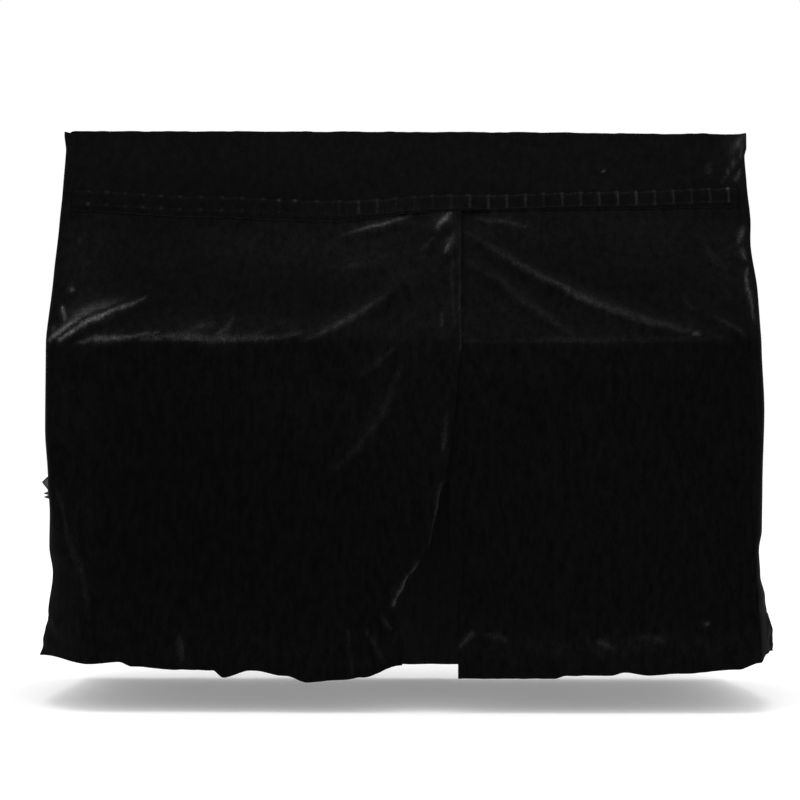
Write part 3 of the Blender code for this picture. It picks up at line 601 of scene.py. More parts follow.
class CoverStage(bpy.types.PropertyGroup):
    """Camera and light of the studio"""

    distance: FloatProperty(name="Distance", description="Camera to origin", default=6.115, subtype="DISTANCE")
    height: FloatProperty(name="Height", description="Camera height", default=-0.516, subtype="DISTANCE")
    angles: FloatVectorProperty(
        name="Angles", description="Azimuth, turn, tilt and roll in degrees", size=4,
        default=(0.0, 0.10, 0.71, 0.13),
    )
    focal_px: FloatProperty(name="Focal length", description="In pixels of an 800 pixel frame", default=2672.0)
    floor_z: FloatProperty(name="Floor", description="Height of the floor", default=-1.250, subtype="DISTANCE")
    sky: FloatProperty(name="Surround", description="Strength of the white surround", default=1.0)
    top_light: FloatProperty(name="Top light", description="Power of the overhead panel", default=60.0)


def smooth(t):
    """Ease from 0 to 1 with level ends."""
    t = np.clip(t, 0.0, 1.0)
    return t * t * (3.0 - 2.0 * t)


def hump(away, half_width):
    """A soft hump: 1 at its middle, and near 0 at two half widths away."""
    return np.exp(-((away / half_width) ** 2))


def along_table(rows, at, key, value):
    """Read a table at places between its rows, easing from row to row."""
    places = np.array([getattr(row, key) for row in rows])
    values = np.array([getattr(row, value) for row in rows])
    if places[0] > places[-1]:
        places = places[::-1]
        values = values[::-1]
    at = np.clip(at, places[0], places[-1])
    high = np.clip(np.searchsorted(places, at), 1, len(places) - 1)
    share = (at - places[high - 1]) / (places[high] - places[high - 1])
    return values[high - 1] + (values[high] - values[high - 1]) * smooth(share)


def wander(x, z, ripples, seed):
    """Smooth unevenness of cloth at places x, z: long waves in all directions, added together."""
    draw = np.random.default_rng(seed)
    total = np.zeros_like(x)
    for ripple in ripples:
        angles = draw.uniform(0.0, pi, WAVES_PER_RIPPLE)
        phases = draw.uniform(0.0, 2.0 * pi, WAVES_PER_RIPPLE)
        lengths = ripple.length * draw.uniform(0.75, 1.35, WAVES_PER_RIPPLE)
        for angle, phase, length in zip(angles, phases, lengths):
            across = x * np.cos(angle) + z * np.sin(angle)
            total += ripple.height * np.sin(2.0 * pi * across / length + phase) / WAVES_PER_RIPPLE ** 0.5
    return total


def line_distance(x, z, line):
    """Distance to a bent line, and how far along it the nearest point lies (0 to 1)."""
    points = np.array(line)
    lengths = np.hypot(*(points[1:] - points[:-1]).T)
    best = np.full_like(x, 1.0e9)
    along = np.zeros_like(x)
    before = 0.0
    for start, end, length in zip(points, points[1:], lengths):
        share = ((x - start[0]) * (end[0] - start[0]) + (z - start[1]) * (end[1] - start[1])) / length ** 2
        share = np.clip(share, 0.0, 1.0)
        away = np.hypot(x - start[0] - share * (end[0] - start[0]), z - start[1] - share * (end[1] - start[1]))
        nearer = away < best
        best = np.where(nearer, away, best)
        along = np.where(nearer, (before + share * length) / lengths.sum(), along)
        before += length
    return best, along


def forward(z):
    """How far the front's cloth lies before the origin at a height."""
    sizes = bpy.context.scene.cover_sizes
    down = z / sizes.ledge_z
    sag = sizes.tent_sag * 4.0 * np.maximum(down, 0.0) * np.maximum(1.0 - down, 0.0)
    slant = sizes.lid_forward + (sizes.ledge_forward - sizes.lid_forward) * down - sag
    behind = (sizes.ledge_forward - slant) / LEDGE_SOFTNESS
    return sizes.ledge_forward - LEDGE_SOFTNESS * np.logaddexp(0.0, behind)


def front_normal(z):
    """Outward direction of the front at a height."""
    step = 0.002
    slope = (forward(z + step) - forward(z - step)) / (2.0 * step)
    length = np.sqrt(1.0 + slope * slope)
    return np.stack([np.zeros_like(z), -1.0 / length, -slope / length], axis=1)


def strip_foot(x):
    """Height at which the cloth comes out from under the pleated strip."""
    half = bpy.context.scene.cover_sizes.strip_height / 2.0
    return along_table(STRIP_LINE, x, "x", "z") - half - STRIP_MARGIN


def ridges(x, z, folds):
    """Height of a table of folds at places x, z."""
    relief = np.zeros_like(x)
    for fold in folds:
        away, along = line_distance(x, z, fold.line)
        near = away < FOLD_REACH * fold.half_width
        swell = FOLD_END_SHARE + (1.0 - FOLD_END_SHARE) * np.sin(pi * along)
        relief += np.where(near, fold.height * swell * hump(away, fold.half_width), 0.0)
    return relief


def front_relief(x, z):
    """Folds, creases and unevenness of the front, none of them under the pleated strip."""
    below = strip_foot(x) - z
    above = z - strip_foot(x) - bpy.context.scene.cover_sizes.strip_height
    curtains = ridges(x, z, FRONT_FOLDS) + ridges(x, z, CREASES) + wander(x, z, BROAD_RIPPLES, 11)
    bands = ridges(x, z, CREASES) + BAND_SHARE * wander(x, z, BROAD_RIPPLES, 12)
    relief = np.where(below > 0.0, curtains * smooth(below / FOLD_START), bands * smooth(above / FOLD_START))
    return relief + np.where(below > 0.0, wander(x, z, FINE_RIPPLES, 13) * smooth(below / FINE_START), 0.0)


def front_painted_sheen(x, z):
    """How much painted highlight and painted sheen the front's colour gets at a place."""
    shine = np.zeros_like(x)
    near_x = x + wander(x, z, FINE_WOBBLE, 21)
    near_z = z + wander(x, z, FINE_WOBBLE, 22)
    for gleam in FRONT_PAINTED_HIGHLIGHTS:
        away, along = line_distance(near_x, near_z, gleam.line)
        line = np.array(sorted(gleam.line))
        over = near_z > np.interp(near_x, line[:, 0], line[:, 1])
        away = np.where(over, away / gleam.soft_above, away)
        away = away / (HIGHLIGHT_END_WIDTH + (1.0 - HIGHLIGHT_END_WIDTH) * np.sin(pi * along))
        steps = np.linspace(0.0, 1.0, len(gleam.shine))
        streak = hump(away, gleam.half_width) + HALO_SHARE * hump(away, HALO_WIDTH * gleam.half_width)
        shine = np.maximum(shine, np.interp(along, steps, gleam.shine) * streak)
    for patch in PAINTED_SHEEN_PATCHES:
        spread = ((x - patch.x) / patch.across) ** 2 + ((z - patch.z) / patch.down) ** 2
        shine += patch.shine * np.exp(-spread)
    return shine


def front_point(x, z, lift=0.0, relief_share=1.0, extra=0.0):
    """Points of the front's cloth, lifted off the lowest layer by lift."""
    out = front_relief(x, z) * relief_share + lift + extra
    flat = np.stack([x, -forward(z), z], axis=1)
    return flat + front_normal(z) * out[:, None]


def groove(away):
    """Depth of a line of stitches that draws the cloth in."""
    return -STITCH_GROOVE * hump(away, STITCH_HALF_WIDTH)


def rolled_edge(away):
    """How far a cut edge rolls in towards its seam."""
    return -EDGE_ROLL * hump(away, EDGE_ROLL_WIDTH)


def height_of_row(v, top, bottom, share_above):
    """Height at a share v of the rows, with one row exactly on the ledge line."""
    ledge_z = bpy.context.scene.cover_sizes.ledge_z
    above = top + (ledge_z - top) * v / share_above
    below = ledge_z + (bottom - ledge_z) * (v - share_above) / (1.0 - share_above)
    return np.where(v < share_above, above, below)


def solve_curtain(u, v, hem, edges):
    """Places x, z of a curtain's grid between its two upright edges, its top and its hem."""
    ledge_z = bpy.context.scene.cover_sizes.ledge_z
    z = np.full_like(u, ledge_z)
    start, end = edges(z)
    x = start + (end - start) * u
    for _ in range(5):
        top = along_table(STRIP_LINE, x, "x", "z") - SEAM_GAP / 2.0
        bottom = along_table(hem, x, "x", "z")
        z = height_of_row(v, top, bottom, CURTAIN_SHARE_ABOVE)
        start, end = edges(z)
        x = start + (end - start) * u
    return x, z, bottom


def hem_marks(x, z, bottom):
    """Relief of the deep turned hem: its line of stitches and its puckers below it."""
    sizes = bpy.context.scene.cover_sizes
    line = bottom + sizes.hem_depth + wander(x, z * 0.0, HEM_LINE_WAVES, 31)
    inside = smooth((line - z) / 0.02)
    return groove(z - line) + wander(x, z, HEM_RIPPLES, 32) * inside, inside


def left_curtain(u, v):
    """Left curtain, from its outer seam (u = 0) to its free edge (u = 1), on top at the slit."""
    x, z, bottom = solve_curtain(
        u, v, LEFT_HEM,
        lambda height: (
            -along_table(LEFT_SIDE, height, "z", "seam_x") + SEAM_GAP / 2.0,
            along_table(LEFT_FREE_EDGE, height, "z", "x"),
        ),
    )
    free = along_table(LEFT_FREE_EDGE, z, "z", "x") - x
    seam = x + along_table(LEFT_SIDE, z, "z", "seam_x")
    lift = LAYER_STEP * smooth((x - SLIT_LIFT_START) / SLIT_LIFT_RUN)
    marks, doubled = hem_marks(x, z, bottom)
    below = smooth((strip_foot(x) - z) / FOLD_START)
    extra = (marks + sum(groove(free - line) for line in FREE_EDGE_LINES)) * below + rolled_edge(seam)
    points = front_point(x, z, lift, 1.0, extra)
    shine = front_painted_sheen(x, z) + HEM_PAINTED_SHEEN * doubled * SMOOTH_HEM_SHARE
    turned = smooth((FREE_EDGE_TURN - free) / FREE_EDGE_SOFTNESS)
    return points, shine, np.maximum(doubled, turned)


def right_curtain(u, v):
    """Right curtain, from its free edge (u = 0), under the left one, to its outer seam (u = 1)."""
    x, z, bottom = solve_curtain(
        u, v, RIGHT_HEM,
        lambda height: (
            along_table(RIGHT_FREE_EDGE, height, "z", "x"),
            along_table(RIGHT_SIDE, height, "z", "seam_x") - SEAM_GAP / 2.0,
        ),
    )
    seam = along_table(RIGHT_SIDE, z, "z", "seam_x") - x
    marks, doubled = hem_marks(x, z, bottom)
    clear = smooth((x - SLIT_UNDERLAP_END) / SLIT_FADE)
    low = np.maximum(clear, smooth((-0.95 - z) / 0.04))
    extra = marks * low + rolled_edge(seam)
    return front_point(x, z, 0.0, clear, extra), front_painted_sheen(x, z) + HEM_PAINTED_SHEEN * doubled, doubled


def band(u, v):
    """Upper front band, from the lid's front edge to the middle of the strip."""
    sizes = bpy.context.scene.cover_sizes
    seam = LEFT_SIDE[0].seam_x - SEAM_GAP / 2.0
    x = seam * (2.0 * u - 1.0)
    top = sizes.cloth + top_edge_rise(x)
    bottom = along_table(STRIP_LINE, x, "x", "z") + SEAM_GAP / 2.0
    z = top + (bottom - top) * v ** 1.15
    extra = rolled_edge(seam - np.abs(x)) + rolled_edge(top - z)
    return front_point(x, z, 0.0, 1.0, extra), front_painted_sheen(x, z), np.zeros_like(x)


def top_edge_rise(x):
    """Small ups and downs of the seam along the lid's front edge."""
    return along_table(TOP_EDGE, x, "x", "rise") + wander(x, x * 0.0, TOP_EDGE_BUMPS, 41)


def strip(u, v):
    """Pleated strip, knife pleats whose folded edges stand up between two lines of stitches."""
    sizes = bpy.context.scene.cover_sizes
    seam = LEFT_SIDE[0].seam_x - SEAM_GAP / 2.0
    x = seam * (2.0 * u - 1.0)
    turns = sizes.pleats * u + PLEAT_SHIFT + along_table(PLEAT_DRIFTS, u, "along", "pitches")
    phase = turns % 1.0
    number = np.floor(turns)
    uneven = PLEAT_EVENNESS + (1.0 - PLEAT_EVENNESS) * np.sin(2.4 * number) * np.cos(1.3 * number + 0.7)
    rise = (phase / PLEAT_EDGE) ** PLEAT_CURVE
    rise = np.where(phase < PLEAT_EDGE, rise, smooth((1.0 - phase) / (1.0 - PLEAT_EDGE)))
    across = 1.0 - 2.0 * v
    stitched = hump(across - TOP_STITCHES, STITCH_DIP_WIDTH) + hump(across - FOOT_STITCHES, STITCH_DIP_WIDTH)
    half = sizes.strip_height / 2.0 + PLEAT_SCALLOP * rise
    flap = np.clip((FOOT_STITCHES - across) / (1.0 + FOOT_STITCHES), 0.0, 1.0)
    z = along_table(STRIP_LINE, x, "x", "z") + across * half + along_table(STRIP_FOOT, x, "x", "up") * flap
    step = LAYER_STEP * along_table(STRIP_STEP, x, "x", "amount")
    between = np.cos(np.clip(across, -1.0, 1.0) * pi / 2.0) ** 0.7 * (1.0 - 0.7 * smooth((0.3 - across) / 0.6))
    lift = sizes.strip_standoff + step + sizes.pleat_rise * uneven * rise * (0.30 + 0.70 * between)
    lift = lift - STITCH_DIP * stitched * (1.0 - hump(phase - PLEAT_EDGE, PLEAT_EDGE_WIDTH))
    lift = lift + (FLAP_STANDOFF + step - lift) * smooth(flap)
    points = np.stack([x, -forward(z), z], axis=1) + front_normal(z) * lift[:, None]
    # Painted shade on the strip's flap below its lower stitches
    shade = 1.0 - STRIP_PAINTED_SHADE * smooth((FOOT_STITCHES - across) / 0.2)
    shine = strip_painted_highlights(x, across, phase, number) + front_painted_sheen(x, z) * shade * strip_sheen_share(x)
    return points, shine, np.zeros_like(x)


def strip_sheen_share(x):
    """How much of the painted sheen the strip keeps: all in its middle, less towards both ends."""
    return STRIP_END_SHEEN + (1.0 - STRIP_END_SHEEN) * hump(x - STRIP_SHEEN_X, STRIP_SHEEN_HALF_WIDTH)


def strip_painted_highlights(x, across, phase, number):
    """Painted highlights on the strip's folded edges, its stitches and its two seams, painted sheen beside the
    stitches, and painted light on its foot.
    """
    edge = np.zeros_like(x)
    top = np.zeros_like(x)
    foot = np.zeros_like(x)
    for count, pleat in enumerate(PLEAT_PAINTED_HIGHLIGHTS, 1):
        here = number == count
        edge[here] = pleat.edge
        top[here] = pleat.top
        foot[here] = pleat.foot
    from_top = across - TOP_STITCHES
    from_foot = across - FOOT_STITCHES
    upper = smooth((from_foot + FOLD_FADE[0]) / FOLD_FADE[1]) * smooth((1.0 - across) / FOLD_FADE[0])
    edge *= hump(phase - PLEAT_EDGE, PLEAT_EDGE_WIDTH) * upper
    dot = hump(phase - PLEAT_EDGE + DOT_SHIFT, DOT_WIDTH)
    top *= dot * hump(from_top + TOP_DOT_SHIFT, TOP_DOT_WIDTH)
    foot *= dot * hump(from_foot, FOOT_DOT_WIDTH)
    slow, slower, fast = (turns * x for turns in SEAM_HIGHLIGHT_TURNS)
    level, swing, flicker = SEAM_HIGHLIGHT_LEVELS
    highlight_breakup = np.clip(level + swing * np.sin(slow) * np.sin(slower + 1.0) + flicker * np.sin(fast), *SEAM_HIGHLIGHT_RANGE)
    top_seam = highlight_breakup * hump(from_top, TOP_SEAM_WIDTH) * along_table(TOP_SEAM_PAINTED_HIGHLIGHT, x, "x", "amount")
    foot_seam = highlight_breakup * hump(from_foot, FOOT_SEAM_WIDTH) * along_table(FOOT_SEAM_PAINTED_HIGHLIGHT, x, "x", "amount")
    marks = np.maximum.reduce([edge, top, foot, top_seam, foot_seam])
    loose = np.clip(wander(x, across * 0.02, LOOSE_PILE, 81), 0.0, 1.0)
    beside = hump(from_top, TOP_PILE_WIDTH) + hump(from_foot, FOOT_PILE_WIDTH)
    return marks + LOOSE_PAINTED_SHEEN * loose * beside * strip_sheen_share(x) + FOOT_PAINTED_LIGHT * smooth((-0.95 - across) / 0.04)


def side_plan(levels, z, s):
    """Plan of a side panel: x outward and y, from front seam (s = 0) to back seam (s = 1)."""
    sizes = bpy.context.scene.cover_sizes
    seam_x, corner_x, depth, square, middle_x = (
        along_table(levels, z, "z", name) for name in SideLevel._fields[1:]
    )
    seam_x = seam_x + SEAM_GAP / 2.0 + sizes.cloth / 2.0 * (1.0 - square)
    front_y = -forward(z)
    end_y = front_y + depth
    t = np.clip(s / CORNER_SHARE, 0.0, 1.0)
    pull_x = seam_x + (corner_x - seam_x) * (0.5 + 0.5 * square)
    pull_y = end_y + (front_y - end_y) * (0.5 + 0.5 * square)
    x = (1 - t) ** 2 * seam_x + 2 * t * (1 - t) * pull_x + t * t * corner_x
    y = (1 - t) ** 2 * front_y + 2 * t * (1 - t) * pull_y + t * t * end_y
    back_end = BACK_Y - BACK_CORNER
    flank = s >= CORNER_SHARE
    t = (s - CORNER_SHARE) / (FLANK_SHARE - CORNER_SHARE)
    flank_y = end_y + (back_end - end_y) * t
    ease = smooth((flank_y - end_y) / (FLANK_MIDDLE_Y - end_y))
    behind = smooth((flank_y - FLANK_MIDDLE_Y) / (back_end - FLANK_MIDDLE_Y))
    flank_x = corner_x + (middle_x - corner_x) * ease + (sizes.lid_half_width - middle_x) * behind
    x = np.where(flank, flank_x, x)
    y = np.where(flank, flank_y, y)
    turn = np.clip((s - FLANK_SHARE) / (BACK_CORNER_SHARE - FLANK_SHARE), 0.0, 1.0) * pi / 2.0
    corner = s >= FLANK_SHARE
    wrap = BACK_WRAP * np.clip((s - BACK_CORNER_SHARE) / (1.0 - BACK_CORNER_SHARE), 0.0, 1.0)
    x = np.where(corner, sizes.lid_half_width - BACK_CORNER * (1.0 - np.cos(turn)) - wrap, x)
    y = np.where(corner, back_end + BACK_CORNER * np.sin(turn), y)
    return x, y


def side_sheet(levels, hem, hand, s, v):
    """A side panel; hand is -1 for the left one and 1 for the right one."""
    sizes = bpy.context.scene.cover_sizes
    bottom = along_table(hem, s, "along", "z")
    z = height_of_row(v, sizes.cloth / 2.0, bottom, SIDE_SHARE_ABOVE)
    x, y = side_plan(levels, z, s)
    hang = smooth((SIDE_HANG_START - z) / SIDE_HANG_RUN)
    for fold in SIDE_FOLDS:
        away = (s - fold.along - fold.lean * hang) * PANEL_WIDTH
        x = x + fold.height * hang * hump(away, fold.half_width) * smooth((1.0 - s) / FLANK_FADE)
    flank = smooth((s - CORNER_SHARE) / FLANK_FADE) * smooth((FLANK_SHARE - s) / FLANK_FADE) * smooth(-z / 0.05)
    x = x + flank * (0.8 * wander(y, z, BROAD_RIPPLES, 51 + hand) + wander(y, z, FINE_RIPPLES, 53 + hand))
    ear = EAR_RISE * hump(s - EAR_PLACE * CORNER_SHARE, EAR_WIDTH) * smooth((z + EAR_DEPTH) / EAR_DEPTH)
    fade = smooth(1.0 - s / CORNER_SHARE)
    relief = front_relief(hand * x, z) * fade + rolled_edge(s * CORNER_WIDTH) * smooth(fade)
    tuck = smooth(1.0 - s / SEAM_TUCK_SHARE)
    tuck_behind = smooth(1.0 - (1.0 - s) / SEAM_TUCK_SHARE)
    x = x - SEAM_TUCK_IN * (tuck + tuck_behind)
    y = y + (SEAM_TUCK_BACK * tuck - BACK_TUCK * tuck_behind) * smooth(-z / 0.02)
    points = np.stack([hand * x, y, z + ear], axis=1) + front_normal(z) * relief[:, None]
    line = bottom + sizes.hem_depth
    inside = smooth((line - z) / 0.02)
    crumple = wander(y, z, HEM_RIPPLES, 55) * inside + groove(z - line)
    points[:, 0] += hand * crumple * smooth((s - 0.05) / 0.1) * smooth((FLANK_SHARE - s) / 0.1)
    turned = smooth(1.15 - s / CORNER_SHARE)
    gleam = front_painted_sheen(hand * x, z) * turned + PLAIN_PAINTED_SHEEN * (1.0 - turned)
    return points, gleam + HEM_PAINTED_SHEEN * SMOOTH_HEM_SHARE * inside, inside


def left_side(u, v):
    """Left side panel, from its front seam to its back seam."""
    return side_sheet(LEFT_SIDE, LEFT_SIDE_HEM, -1, u, v)


def right_side(u, v):
    """Right side panel, from its front seam to its back seam."""
    return side_sheet(RIGHT_SIDE, RIGHT_SIDE_HEM, 1, u, v)


def back(u, v):
    """Back panel, with soft hanging folds that stand out behind."""
    sizes = bpy.context.scene.cover_sizes
    top = sizes.cloth / 2.0
    seam = sizes.lid_half_width - BACK_CORNER - BACK_WRAP - SEAM_GAP
    x = seam * (2.0 * u - 1.0)
    bottom = sizes.hem_z - BACK_SAG * hump(x - BACK_SAG_X, BACK_SAG_HALF_WIDTH)
    z = top + (bottom - top) * v
    hang = smooth(v)
    y = np.full_like(x, BACK_Y)
    for fold in BACK_FOLDS:
        away = (u - fold.along - fold.lean * hang) * 2.0 * sizes.lid_half_width
        y += fold.height * hang * hump(away, fold.half_width)
    inner = smooth((seam - np.abs(x)) / SEAM_FADE) * smooth(v / 0.05)
    y += inner * (np.abs(wander(x, z, BROAD_RIPPLES, 61)) + wander(x, z, FINE_RIPPLES, 62))
    line = bottom + sizes.hem_depth
    inside = smooth((line - z) / 0.02)
    y += groove(z - line) * inner + np.abs(wander(x, z, HEM_RIPPLES, 63)) * inside * inner
    return np.stack([x, y, z], axis=1), PLAIN_PAINTED_SHEEN + HEM_PAINTED_SHEEN * BACK_HEM_SHARE * inside, inside


def lid(u, v):
    """Top panel, a flat rectangle with rounded corners and a little unevenness."""
    sizes = bpy.context.scene.cover_sizes
    half_depth = sizes.lid_forward - LID_INSET
    across = -np.cos(pi * v)
    y = half_depth * across
    into_corner = np.maximum(np.abs(y) - (half_depth - LID_CORNER), 0.0) / LID_CORNER
    cut = LID_CORNER * (1.0 - np.sqrt(1.0 - np.minimum(into_corner, 1.0) ** 2))
    x = (sizes.lid_half_width - LID_INSET - cut) * (2.0 * u - 1.0)
    inner = 1.0 - across * across
    swells = (np.sin(LID_SWELL_TURNS[0] * x) * np.cos(LID_SWELL_TURNS[1] * y) + 1.0) / 2.0
    broad = LID_BROAD_SHARE * np.abs(wander(x, y, BROAD_RIPPLES, 71))
    fine = LID_FINE_SHARE * np.abs(wander(x, y, FINE_RIPPLES, 72))
    bump = (LID_SWELL * swells + broad + fine) * inner
    front = smooth((-across - 0.9) / 0.1)
    z = sizes.cloth / 2.0 + bump + top_edge_rise(x) * front
    return np.stack([x, y, z], axis=1), np.full_like(x, PLAIN_PAINTED_SHEEN), np.zeros_like(x)


def tie(u, v):
    """Folded ribbon end: one pointed loop laid flat, and a short tail below it."""
    z = TIE_TOP_Z + (TIE_FOOT_Z - TIE_TOP_Z) * v
    rising = TIE_TIP_OUT * (TIE_TOP_Z - z) / (TIE_TOP_Z - TIE_TIP_Z)
    falling = TIE_TIP_OUT * (z - TIE_TURN_Z) / (TIE_TIP_Z - TIE_TURN_Z)
    tail = np.zeros_like(z)
    for strand in TIE_STRANDS:
        tail = np.maximum(tail, TIE_TAIL_OUT * (1.0 - np.abs(z - strand) / TIE_STRAND_HALF))
    out = np.where(z > TIE_TIP_Z, rising, np.where(z > TIE_TURN_Z, falling, tail)) + TIE_CLEARANCE
    x, y = side_plan(LEFT_SIDE, z, np.full_like(z, CORNER_SHARE))
    x = -x - (bpy.context.scene.cover_sizes.cloth / 2.0 + out) * u
    curl = TIE_CURL * np.sin(pi * u)
    return np.stack([x, y + curl, z], axis=1), np.zeros_like(x), np.zeros_like(x)


def linear_colour(hex_value):
    """Turn an sRGB hex value into a linear colour with alpha 1."""
    parts = [int(hex_value[i : i + 2], 16) / 255.0 for i in (1, 3, 5)]
    return tuple(p / 12.92 if p <= 0.04045 else ((p + 0.055) / 1.055) ** 2.4 for p in parts) + (1.0,)


def add_node(tree, kind, settings=None, links=None):
    """Add a node, set its fields and sockets by name, and link sources to its sockets."""
    node = tree.nodes.new(kind)
    for name, value in (settings or {}).items():
        if hasattr(node, name):
            setattr(node, name, value)
        else:
            node.inputs[name].default_value = value
    for name, source in (links or {}).items():
        tree.links.new(source, node.inputs[name])
    return node


def clear_material(name):
    """A new material with an empty node tree and its output."""
    material = bpy.data.materials.new(name)
    material.use_nodes = True
    material.node_tree.nodes.clear()
    return material, material.node_tree


def cotton_velvet(name, brushed=1.0):
    """Woven cotton velvet, cut pile: near black into the pile, with a soft grey painted highlight and painted
    sheen mixed into its colour where it is bent.
    """
    colours = bpy.context.scene.cover_colours
    material, tree = clear_material(name)
    place = add_node(tree, "ShaderNodeTexCoord").outputs["Object"]
    tall = add_node(tree, "ShaderNodeMapping", {"Scale": (1.0, 1.0, 0.45)}, {"Vector": place}).outputs["Vector"]
    thin = add_node(tree, "ShaderNodeMapping", {"Scale": (1.0, 1.0, 0.22)}, {"Vector": place}).outputs["Vector"]
    # Brush marks 15 mm across and twice as tall, from handling
    marks = add_node(
        tree, "ShaderNodeTexNoise", {"Scale": 1.0 / 0.015, "Detail": 5.0, "Roughness": 0.65}, {"Vector": tall}
    ).outputs["Fac"]
    # Pile tufts: real ones are 0.4 mm apart, drawn 4 mm apart so that they show
    tufts = add_node(
        tree, "ShaderNodeTexNoise", {"Scale": 1.0 / 0.004, "Detail": 2.0, "Roughness": 0.5}, {"Vector": place}
    ).outputs["Fac"]
    # Rows of the weave under the pile: 0.5 mm apart, drawn as 3 mm lines so that they show
    rows = add_node(
        tree, "ShaderNodeTexNoise", {"Scale": 1.0 / 0.003, "Detail": 1.0, "Roughness": 0.5}, {"Vector": thin}
    ).outputs["Fac"]
    patch = add_node(
        tree, "ShaderNodeMapRange", {"From Min": 0.30, "From Max": 0.72, "To Max": brushed}, {"Value": marks}
    ).outputs["Result"]
    ground = add_node(tree, "ShaderNodeMix", {"data_type": "RGBA"}, {"Factor": patch})
    ground.inputs[6].default_value = linear_colour(colours.velvet)
    ground.inputs[7].default_value = linear_colour(colours.velvet_worn)
    # Painted highlights and painted sheen from the mesh attribute, broken up by the pile's patterns
    amount = add_node(tree, "ShaderNodeAttribute", {"attribute_name": "gleam"}).outputs["Fac"]
    for pattern, low, high in ((tufts, 0.50, 1.50), (rows, 0.75, 1.25), (marks, 0.6, 1.4)):
        broken = add_node(
            tree, "ShaderNodeMapRange", {"From Min": 0.32, "From Max": 0.68, "To Min": low, "To Max": high},
            {"Value": pattern},
        ).outputs["Result"]
        product = add_node(tree, "ShaderNodeMath", {"operation": "MULTIPLY", "use_clamp": True})
        tree.links.new(amount, product.inputs[0])
        tree.links.new(broken, product.inputs[1])
        amount = product.outputs[0]
    colour = add_node(tree, "ShaderNodeMix", {"data_type": "RGBA"}, {"Factor": amount})
    tree.links.new(ground.outputs[2], colour.inputs[6])
    colour.inputs[7].default_value = linear_colour(colours.gleam)
    pile = add_node(
        tree, "ShaderNodeBump", {"Strength": 0.35, "Distance": 0.0006}, {"Height": tufts}
    ).outputs["Normal"]
    crush = add_node(
        tree, "ShaderNodeBump", {"Strength": 0.25, "Distance": 0.0008}, {"Height": marks, "Normal": pile}
    ).outputs["Normal"]
    shader = add_node(
        tree, "ShaderNodeBsdfPrincipled",
        {
            "Roughness": 0.75,
            "Specular IOR Level": 0.01,
            "Sheen Weight": 0.011,
            "Sheen Roughness": 0.35,
            "Sheen Tint": (0.8, 0.8, 0.8, 1.0),
        },
        {"Base Color": colour.outputs[2], "Normal": crush},
    )
    add_node(tree, "ShaderNodeOutputMaterial", links={"Surface": shader.outputs["BSDF"]})
    return material


def ground_weave(name):
    """Plain cotton ground of the velvet, its wrong side: dull, and a little paler where it is rubbed."""
    colours = bpy.context.scene.cover_colours
    material, tree = clear_material(name)
    place = add_node(tree, "ShaderNodeTexCoord").outputs["Object"]
    # Threads: real ones are 0.4 mm apart, drawn 1 mm apart so that they show
    weave = add_node(
        tree, "ShaderNodeTexNoise", {"Scale": 1.0 / 0.001, "Detail": 1.0}, {"Vector": place}
    ).outputs["Fac"]
    bump = add_node(
        tree, "ShaderNodeBump", {"Strength": 0.3, "Distance": 0.0003}, {"Height": weave}
    ).outputs["Normal"]
    # Where handling has rubbed the cotton, in marks 30 mm tall
    tall = add_node(tree, "ShaderNodeMapping", {"Scale": (1.0, 1.0, 0.4)}, {"Vector": place}).outputs["Vector"]
    rubbed = add_node(
        tree, "ShaderNodeTexNoise", {"Scale": 1.0 / 0.012, "Detail": 4.0, "Roughness": 0.6}, {"Vector": tall}
    ).outputs["Fac"]
    patch = add_node(
        tree, "ShaderNodeMapRange", {"From Min": 0.35, "From Max": 0.65}, {"Value": rubbed}
    ).outputs["Result"]
    colour = add_node(tree, "ShaderNodeMix", {"data_type": "RGBA"}, {"Factor": patch})
    colour.inputs[6].default_value = linear_colour(colours.lining_dark)
    colour.inputs[7].default_value = linear_colour(colours.lining)
    shader = add_node(
        tree, "ShaderNodeBsdfPrincipled",
        {"Roughness": 0.9, "Specular IOR Level": 0.05},
        {"Base Color": colour.outputs[2], "Normal": bump},
    )
    add_node(tree, "ShaderNodeOutputMaterial", links={"Surface": shader.outputs["BSDF"]})
    return material


def sewing_thread(name):
    """Spun polyester thread, near black, faintly glossy; its 0.6 mm twist is drawn 4 mm long to show."""
    colours = bpy.context.scene.cover_colours
    material, tree = clear_material(name)
    place = add_node(tree, "ShaderNodeTexCoord").outputs["Object"]
    twist = add_node(
        tree, "ShaderNodeTexWave", {"Scale": 1.0 / 0.004, "Distortion": 1.0}, {"Vector": place}
    ).outputs["Fac"]
    bump = add_node(
        tree, "ShaderNodeBump", {"Strength": 0.3, "Distance": 0.0002}, {"Height": twist}
    ).outputs["Normal"]
    shader = add_node(
        tree, "ShaderNodeBsdfPrincipled",
        {"Base Color": linear_colour(colours.thread), "Roughness": 0.6, "Specular IOR Level": 0.05},
        {"Normal": bump},
    )
    add_node(tree, "ShaderNodeOutputMaterial", links={"Surface": shader.outputs["BSDF"]})
    return material


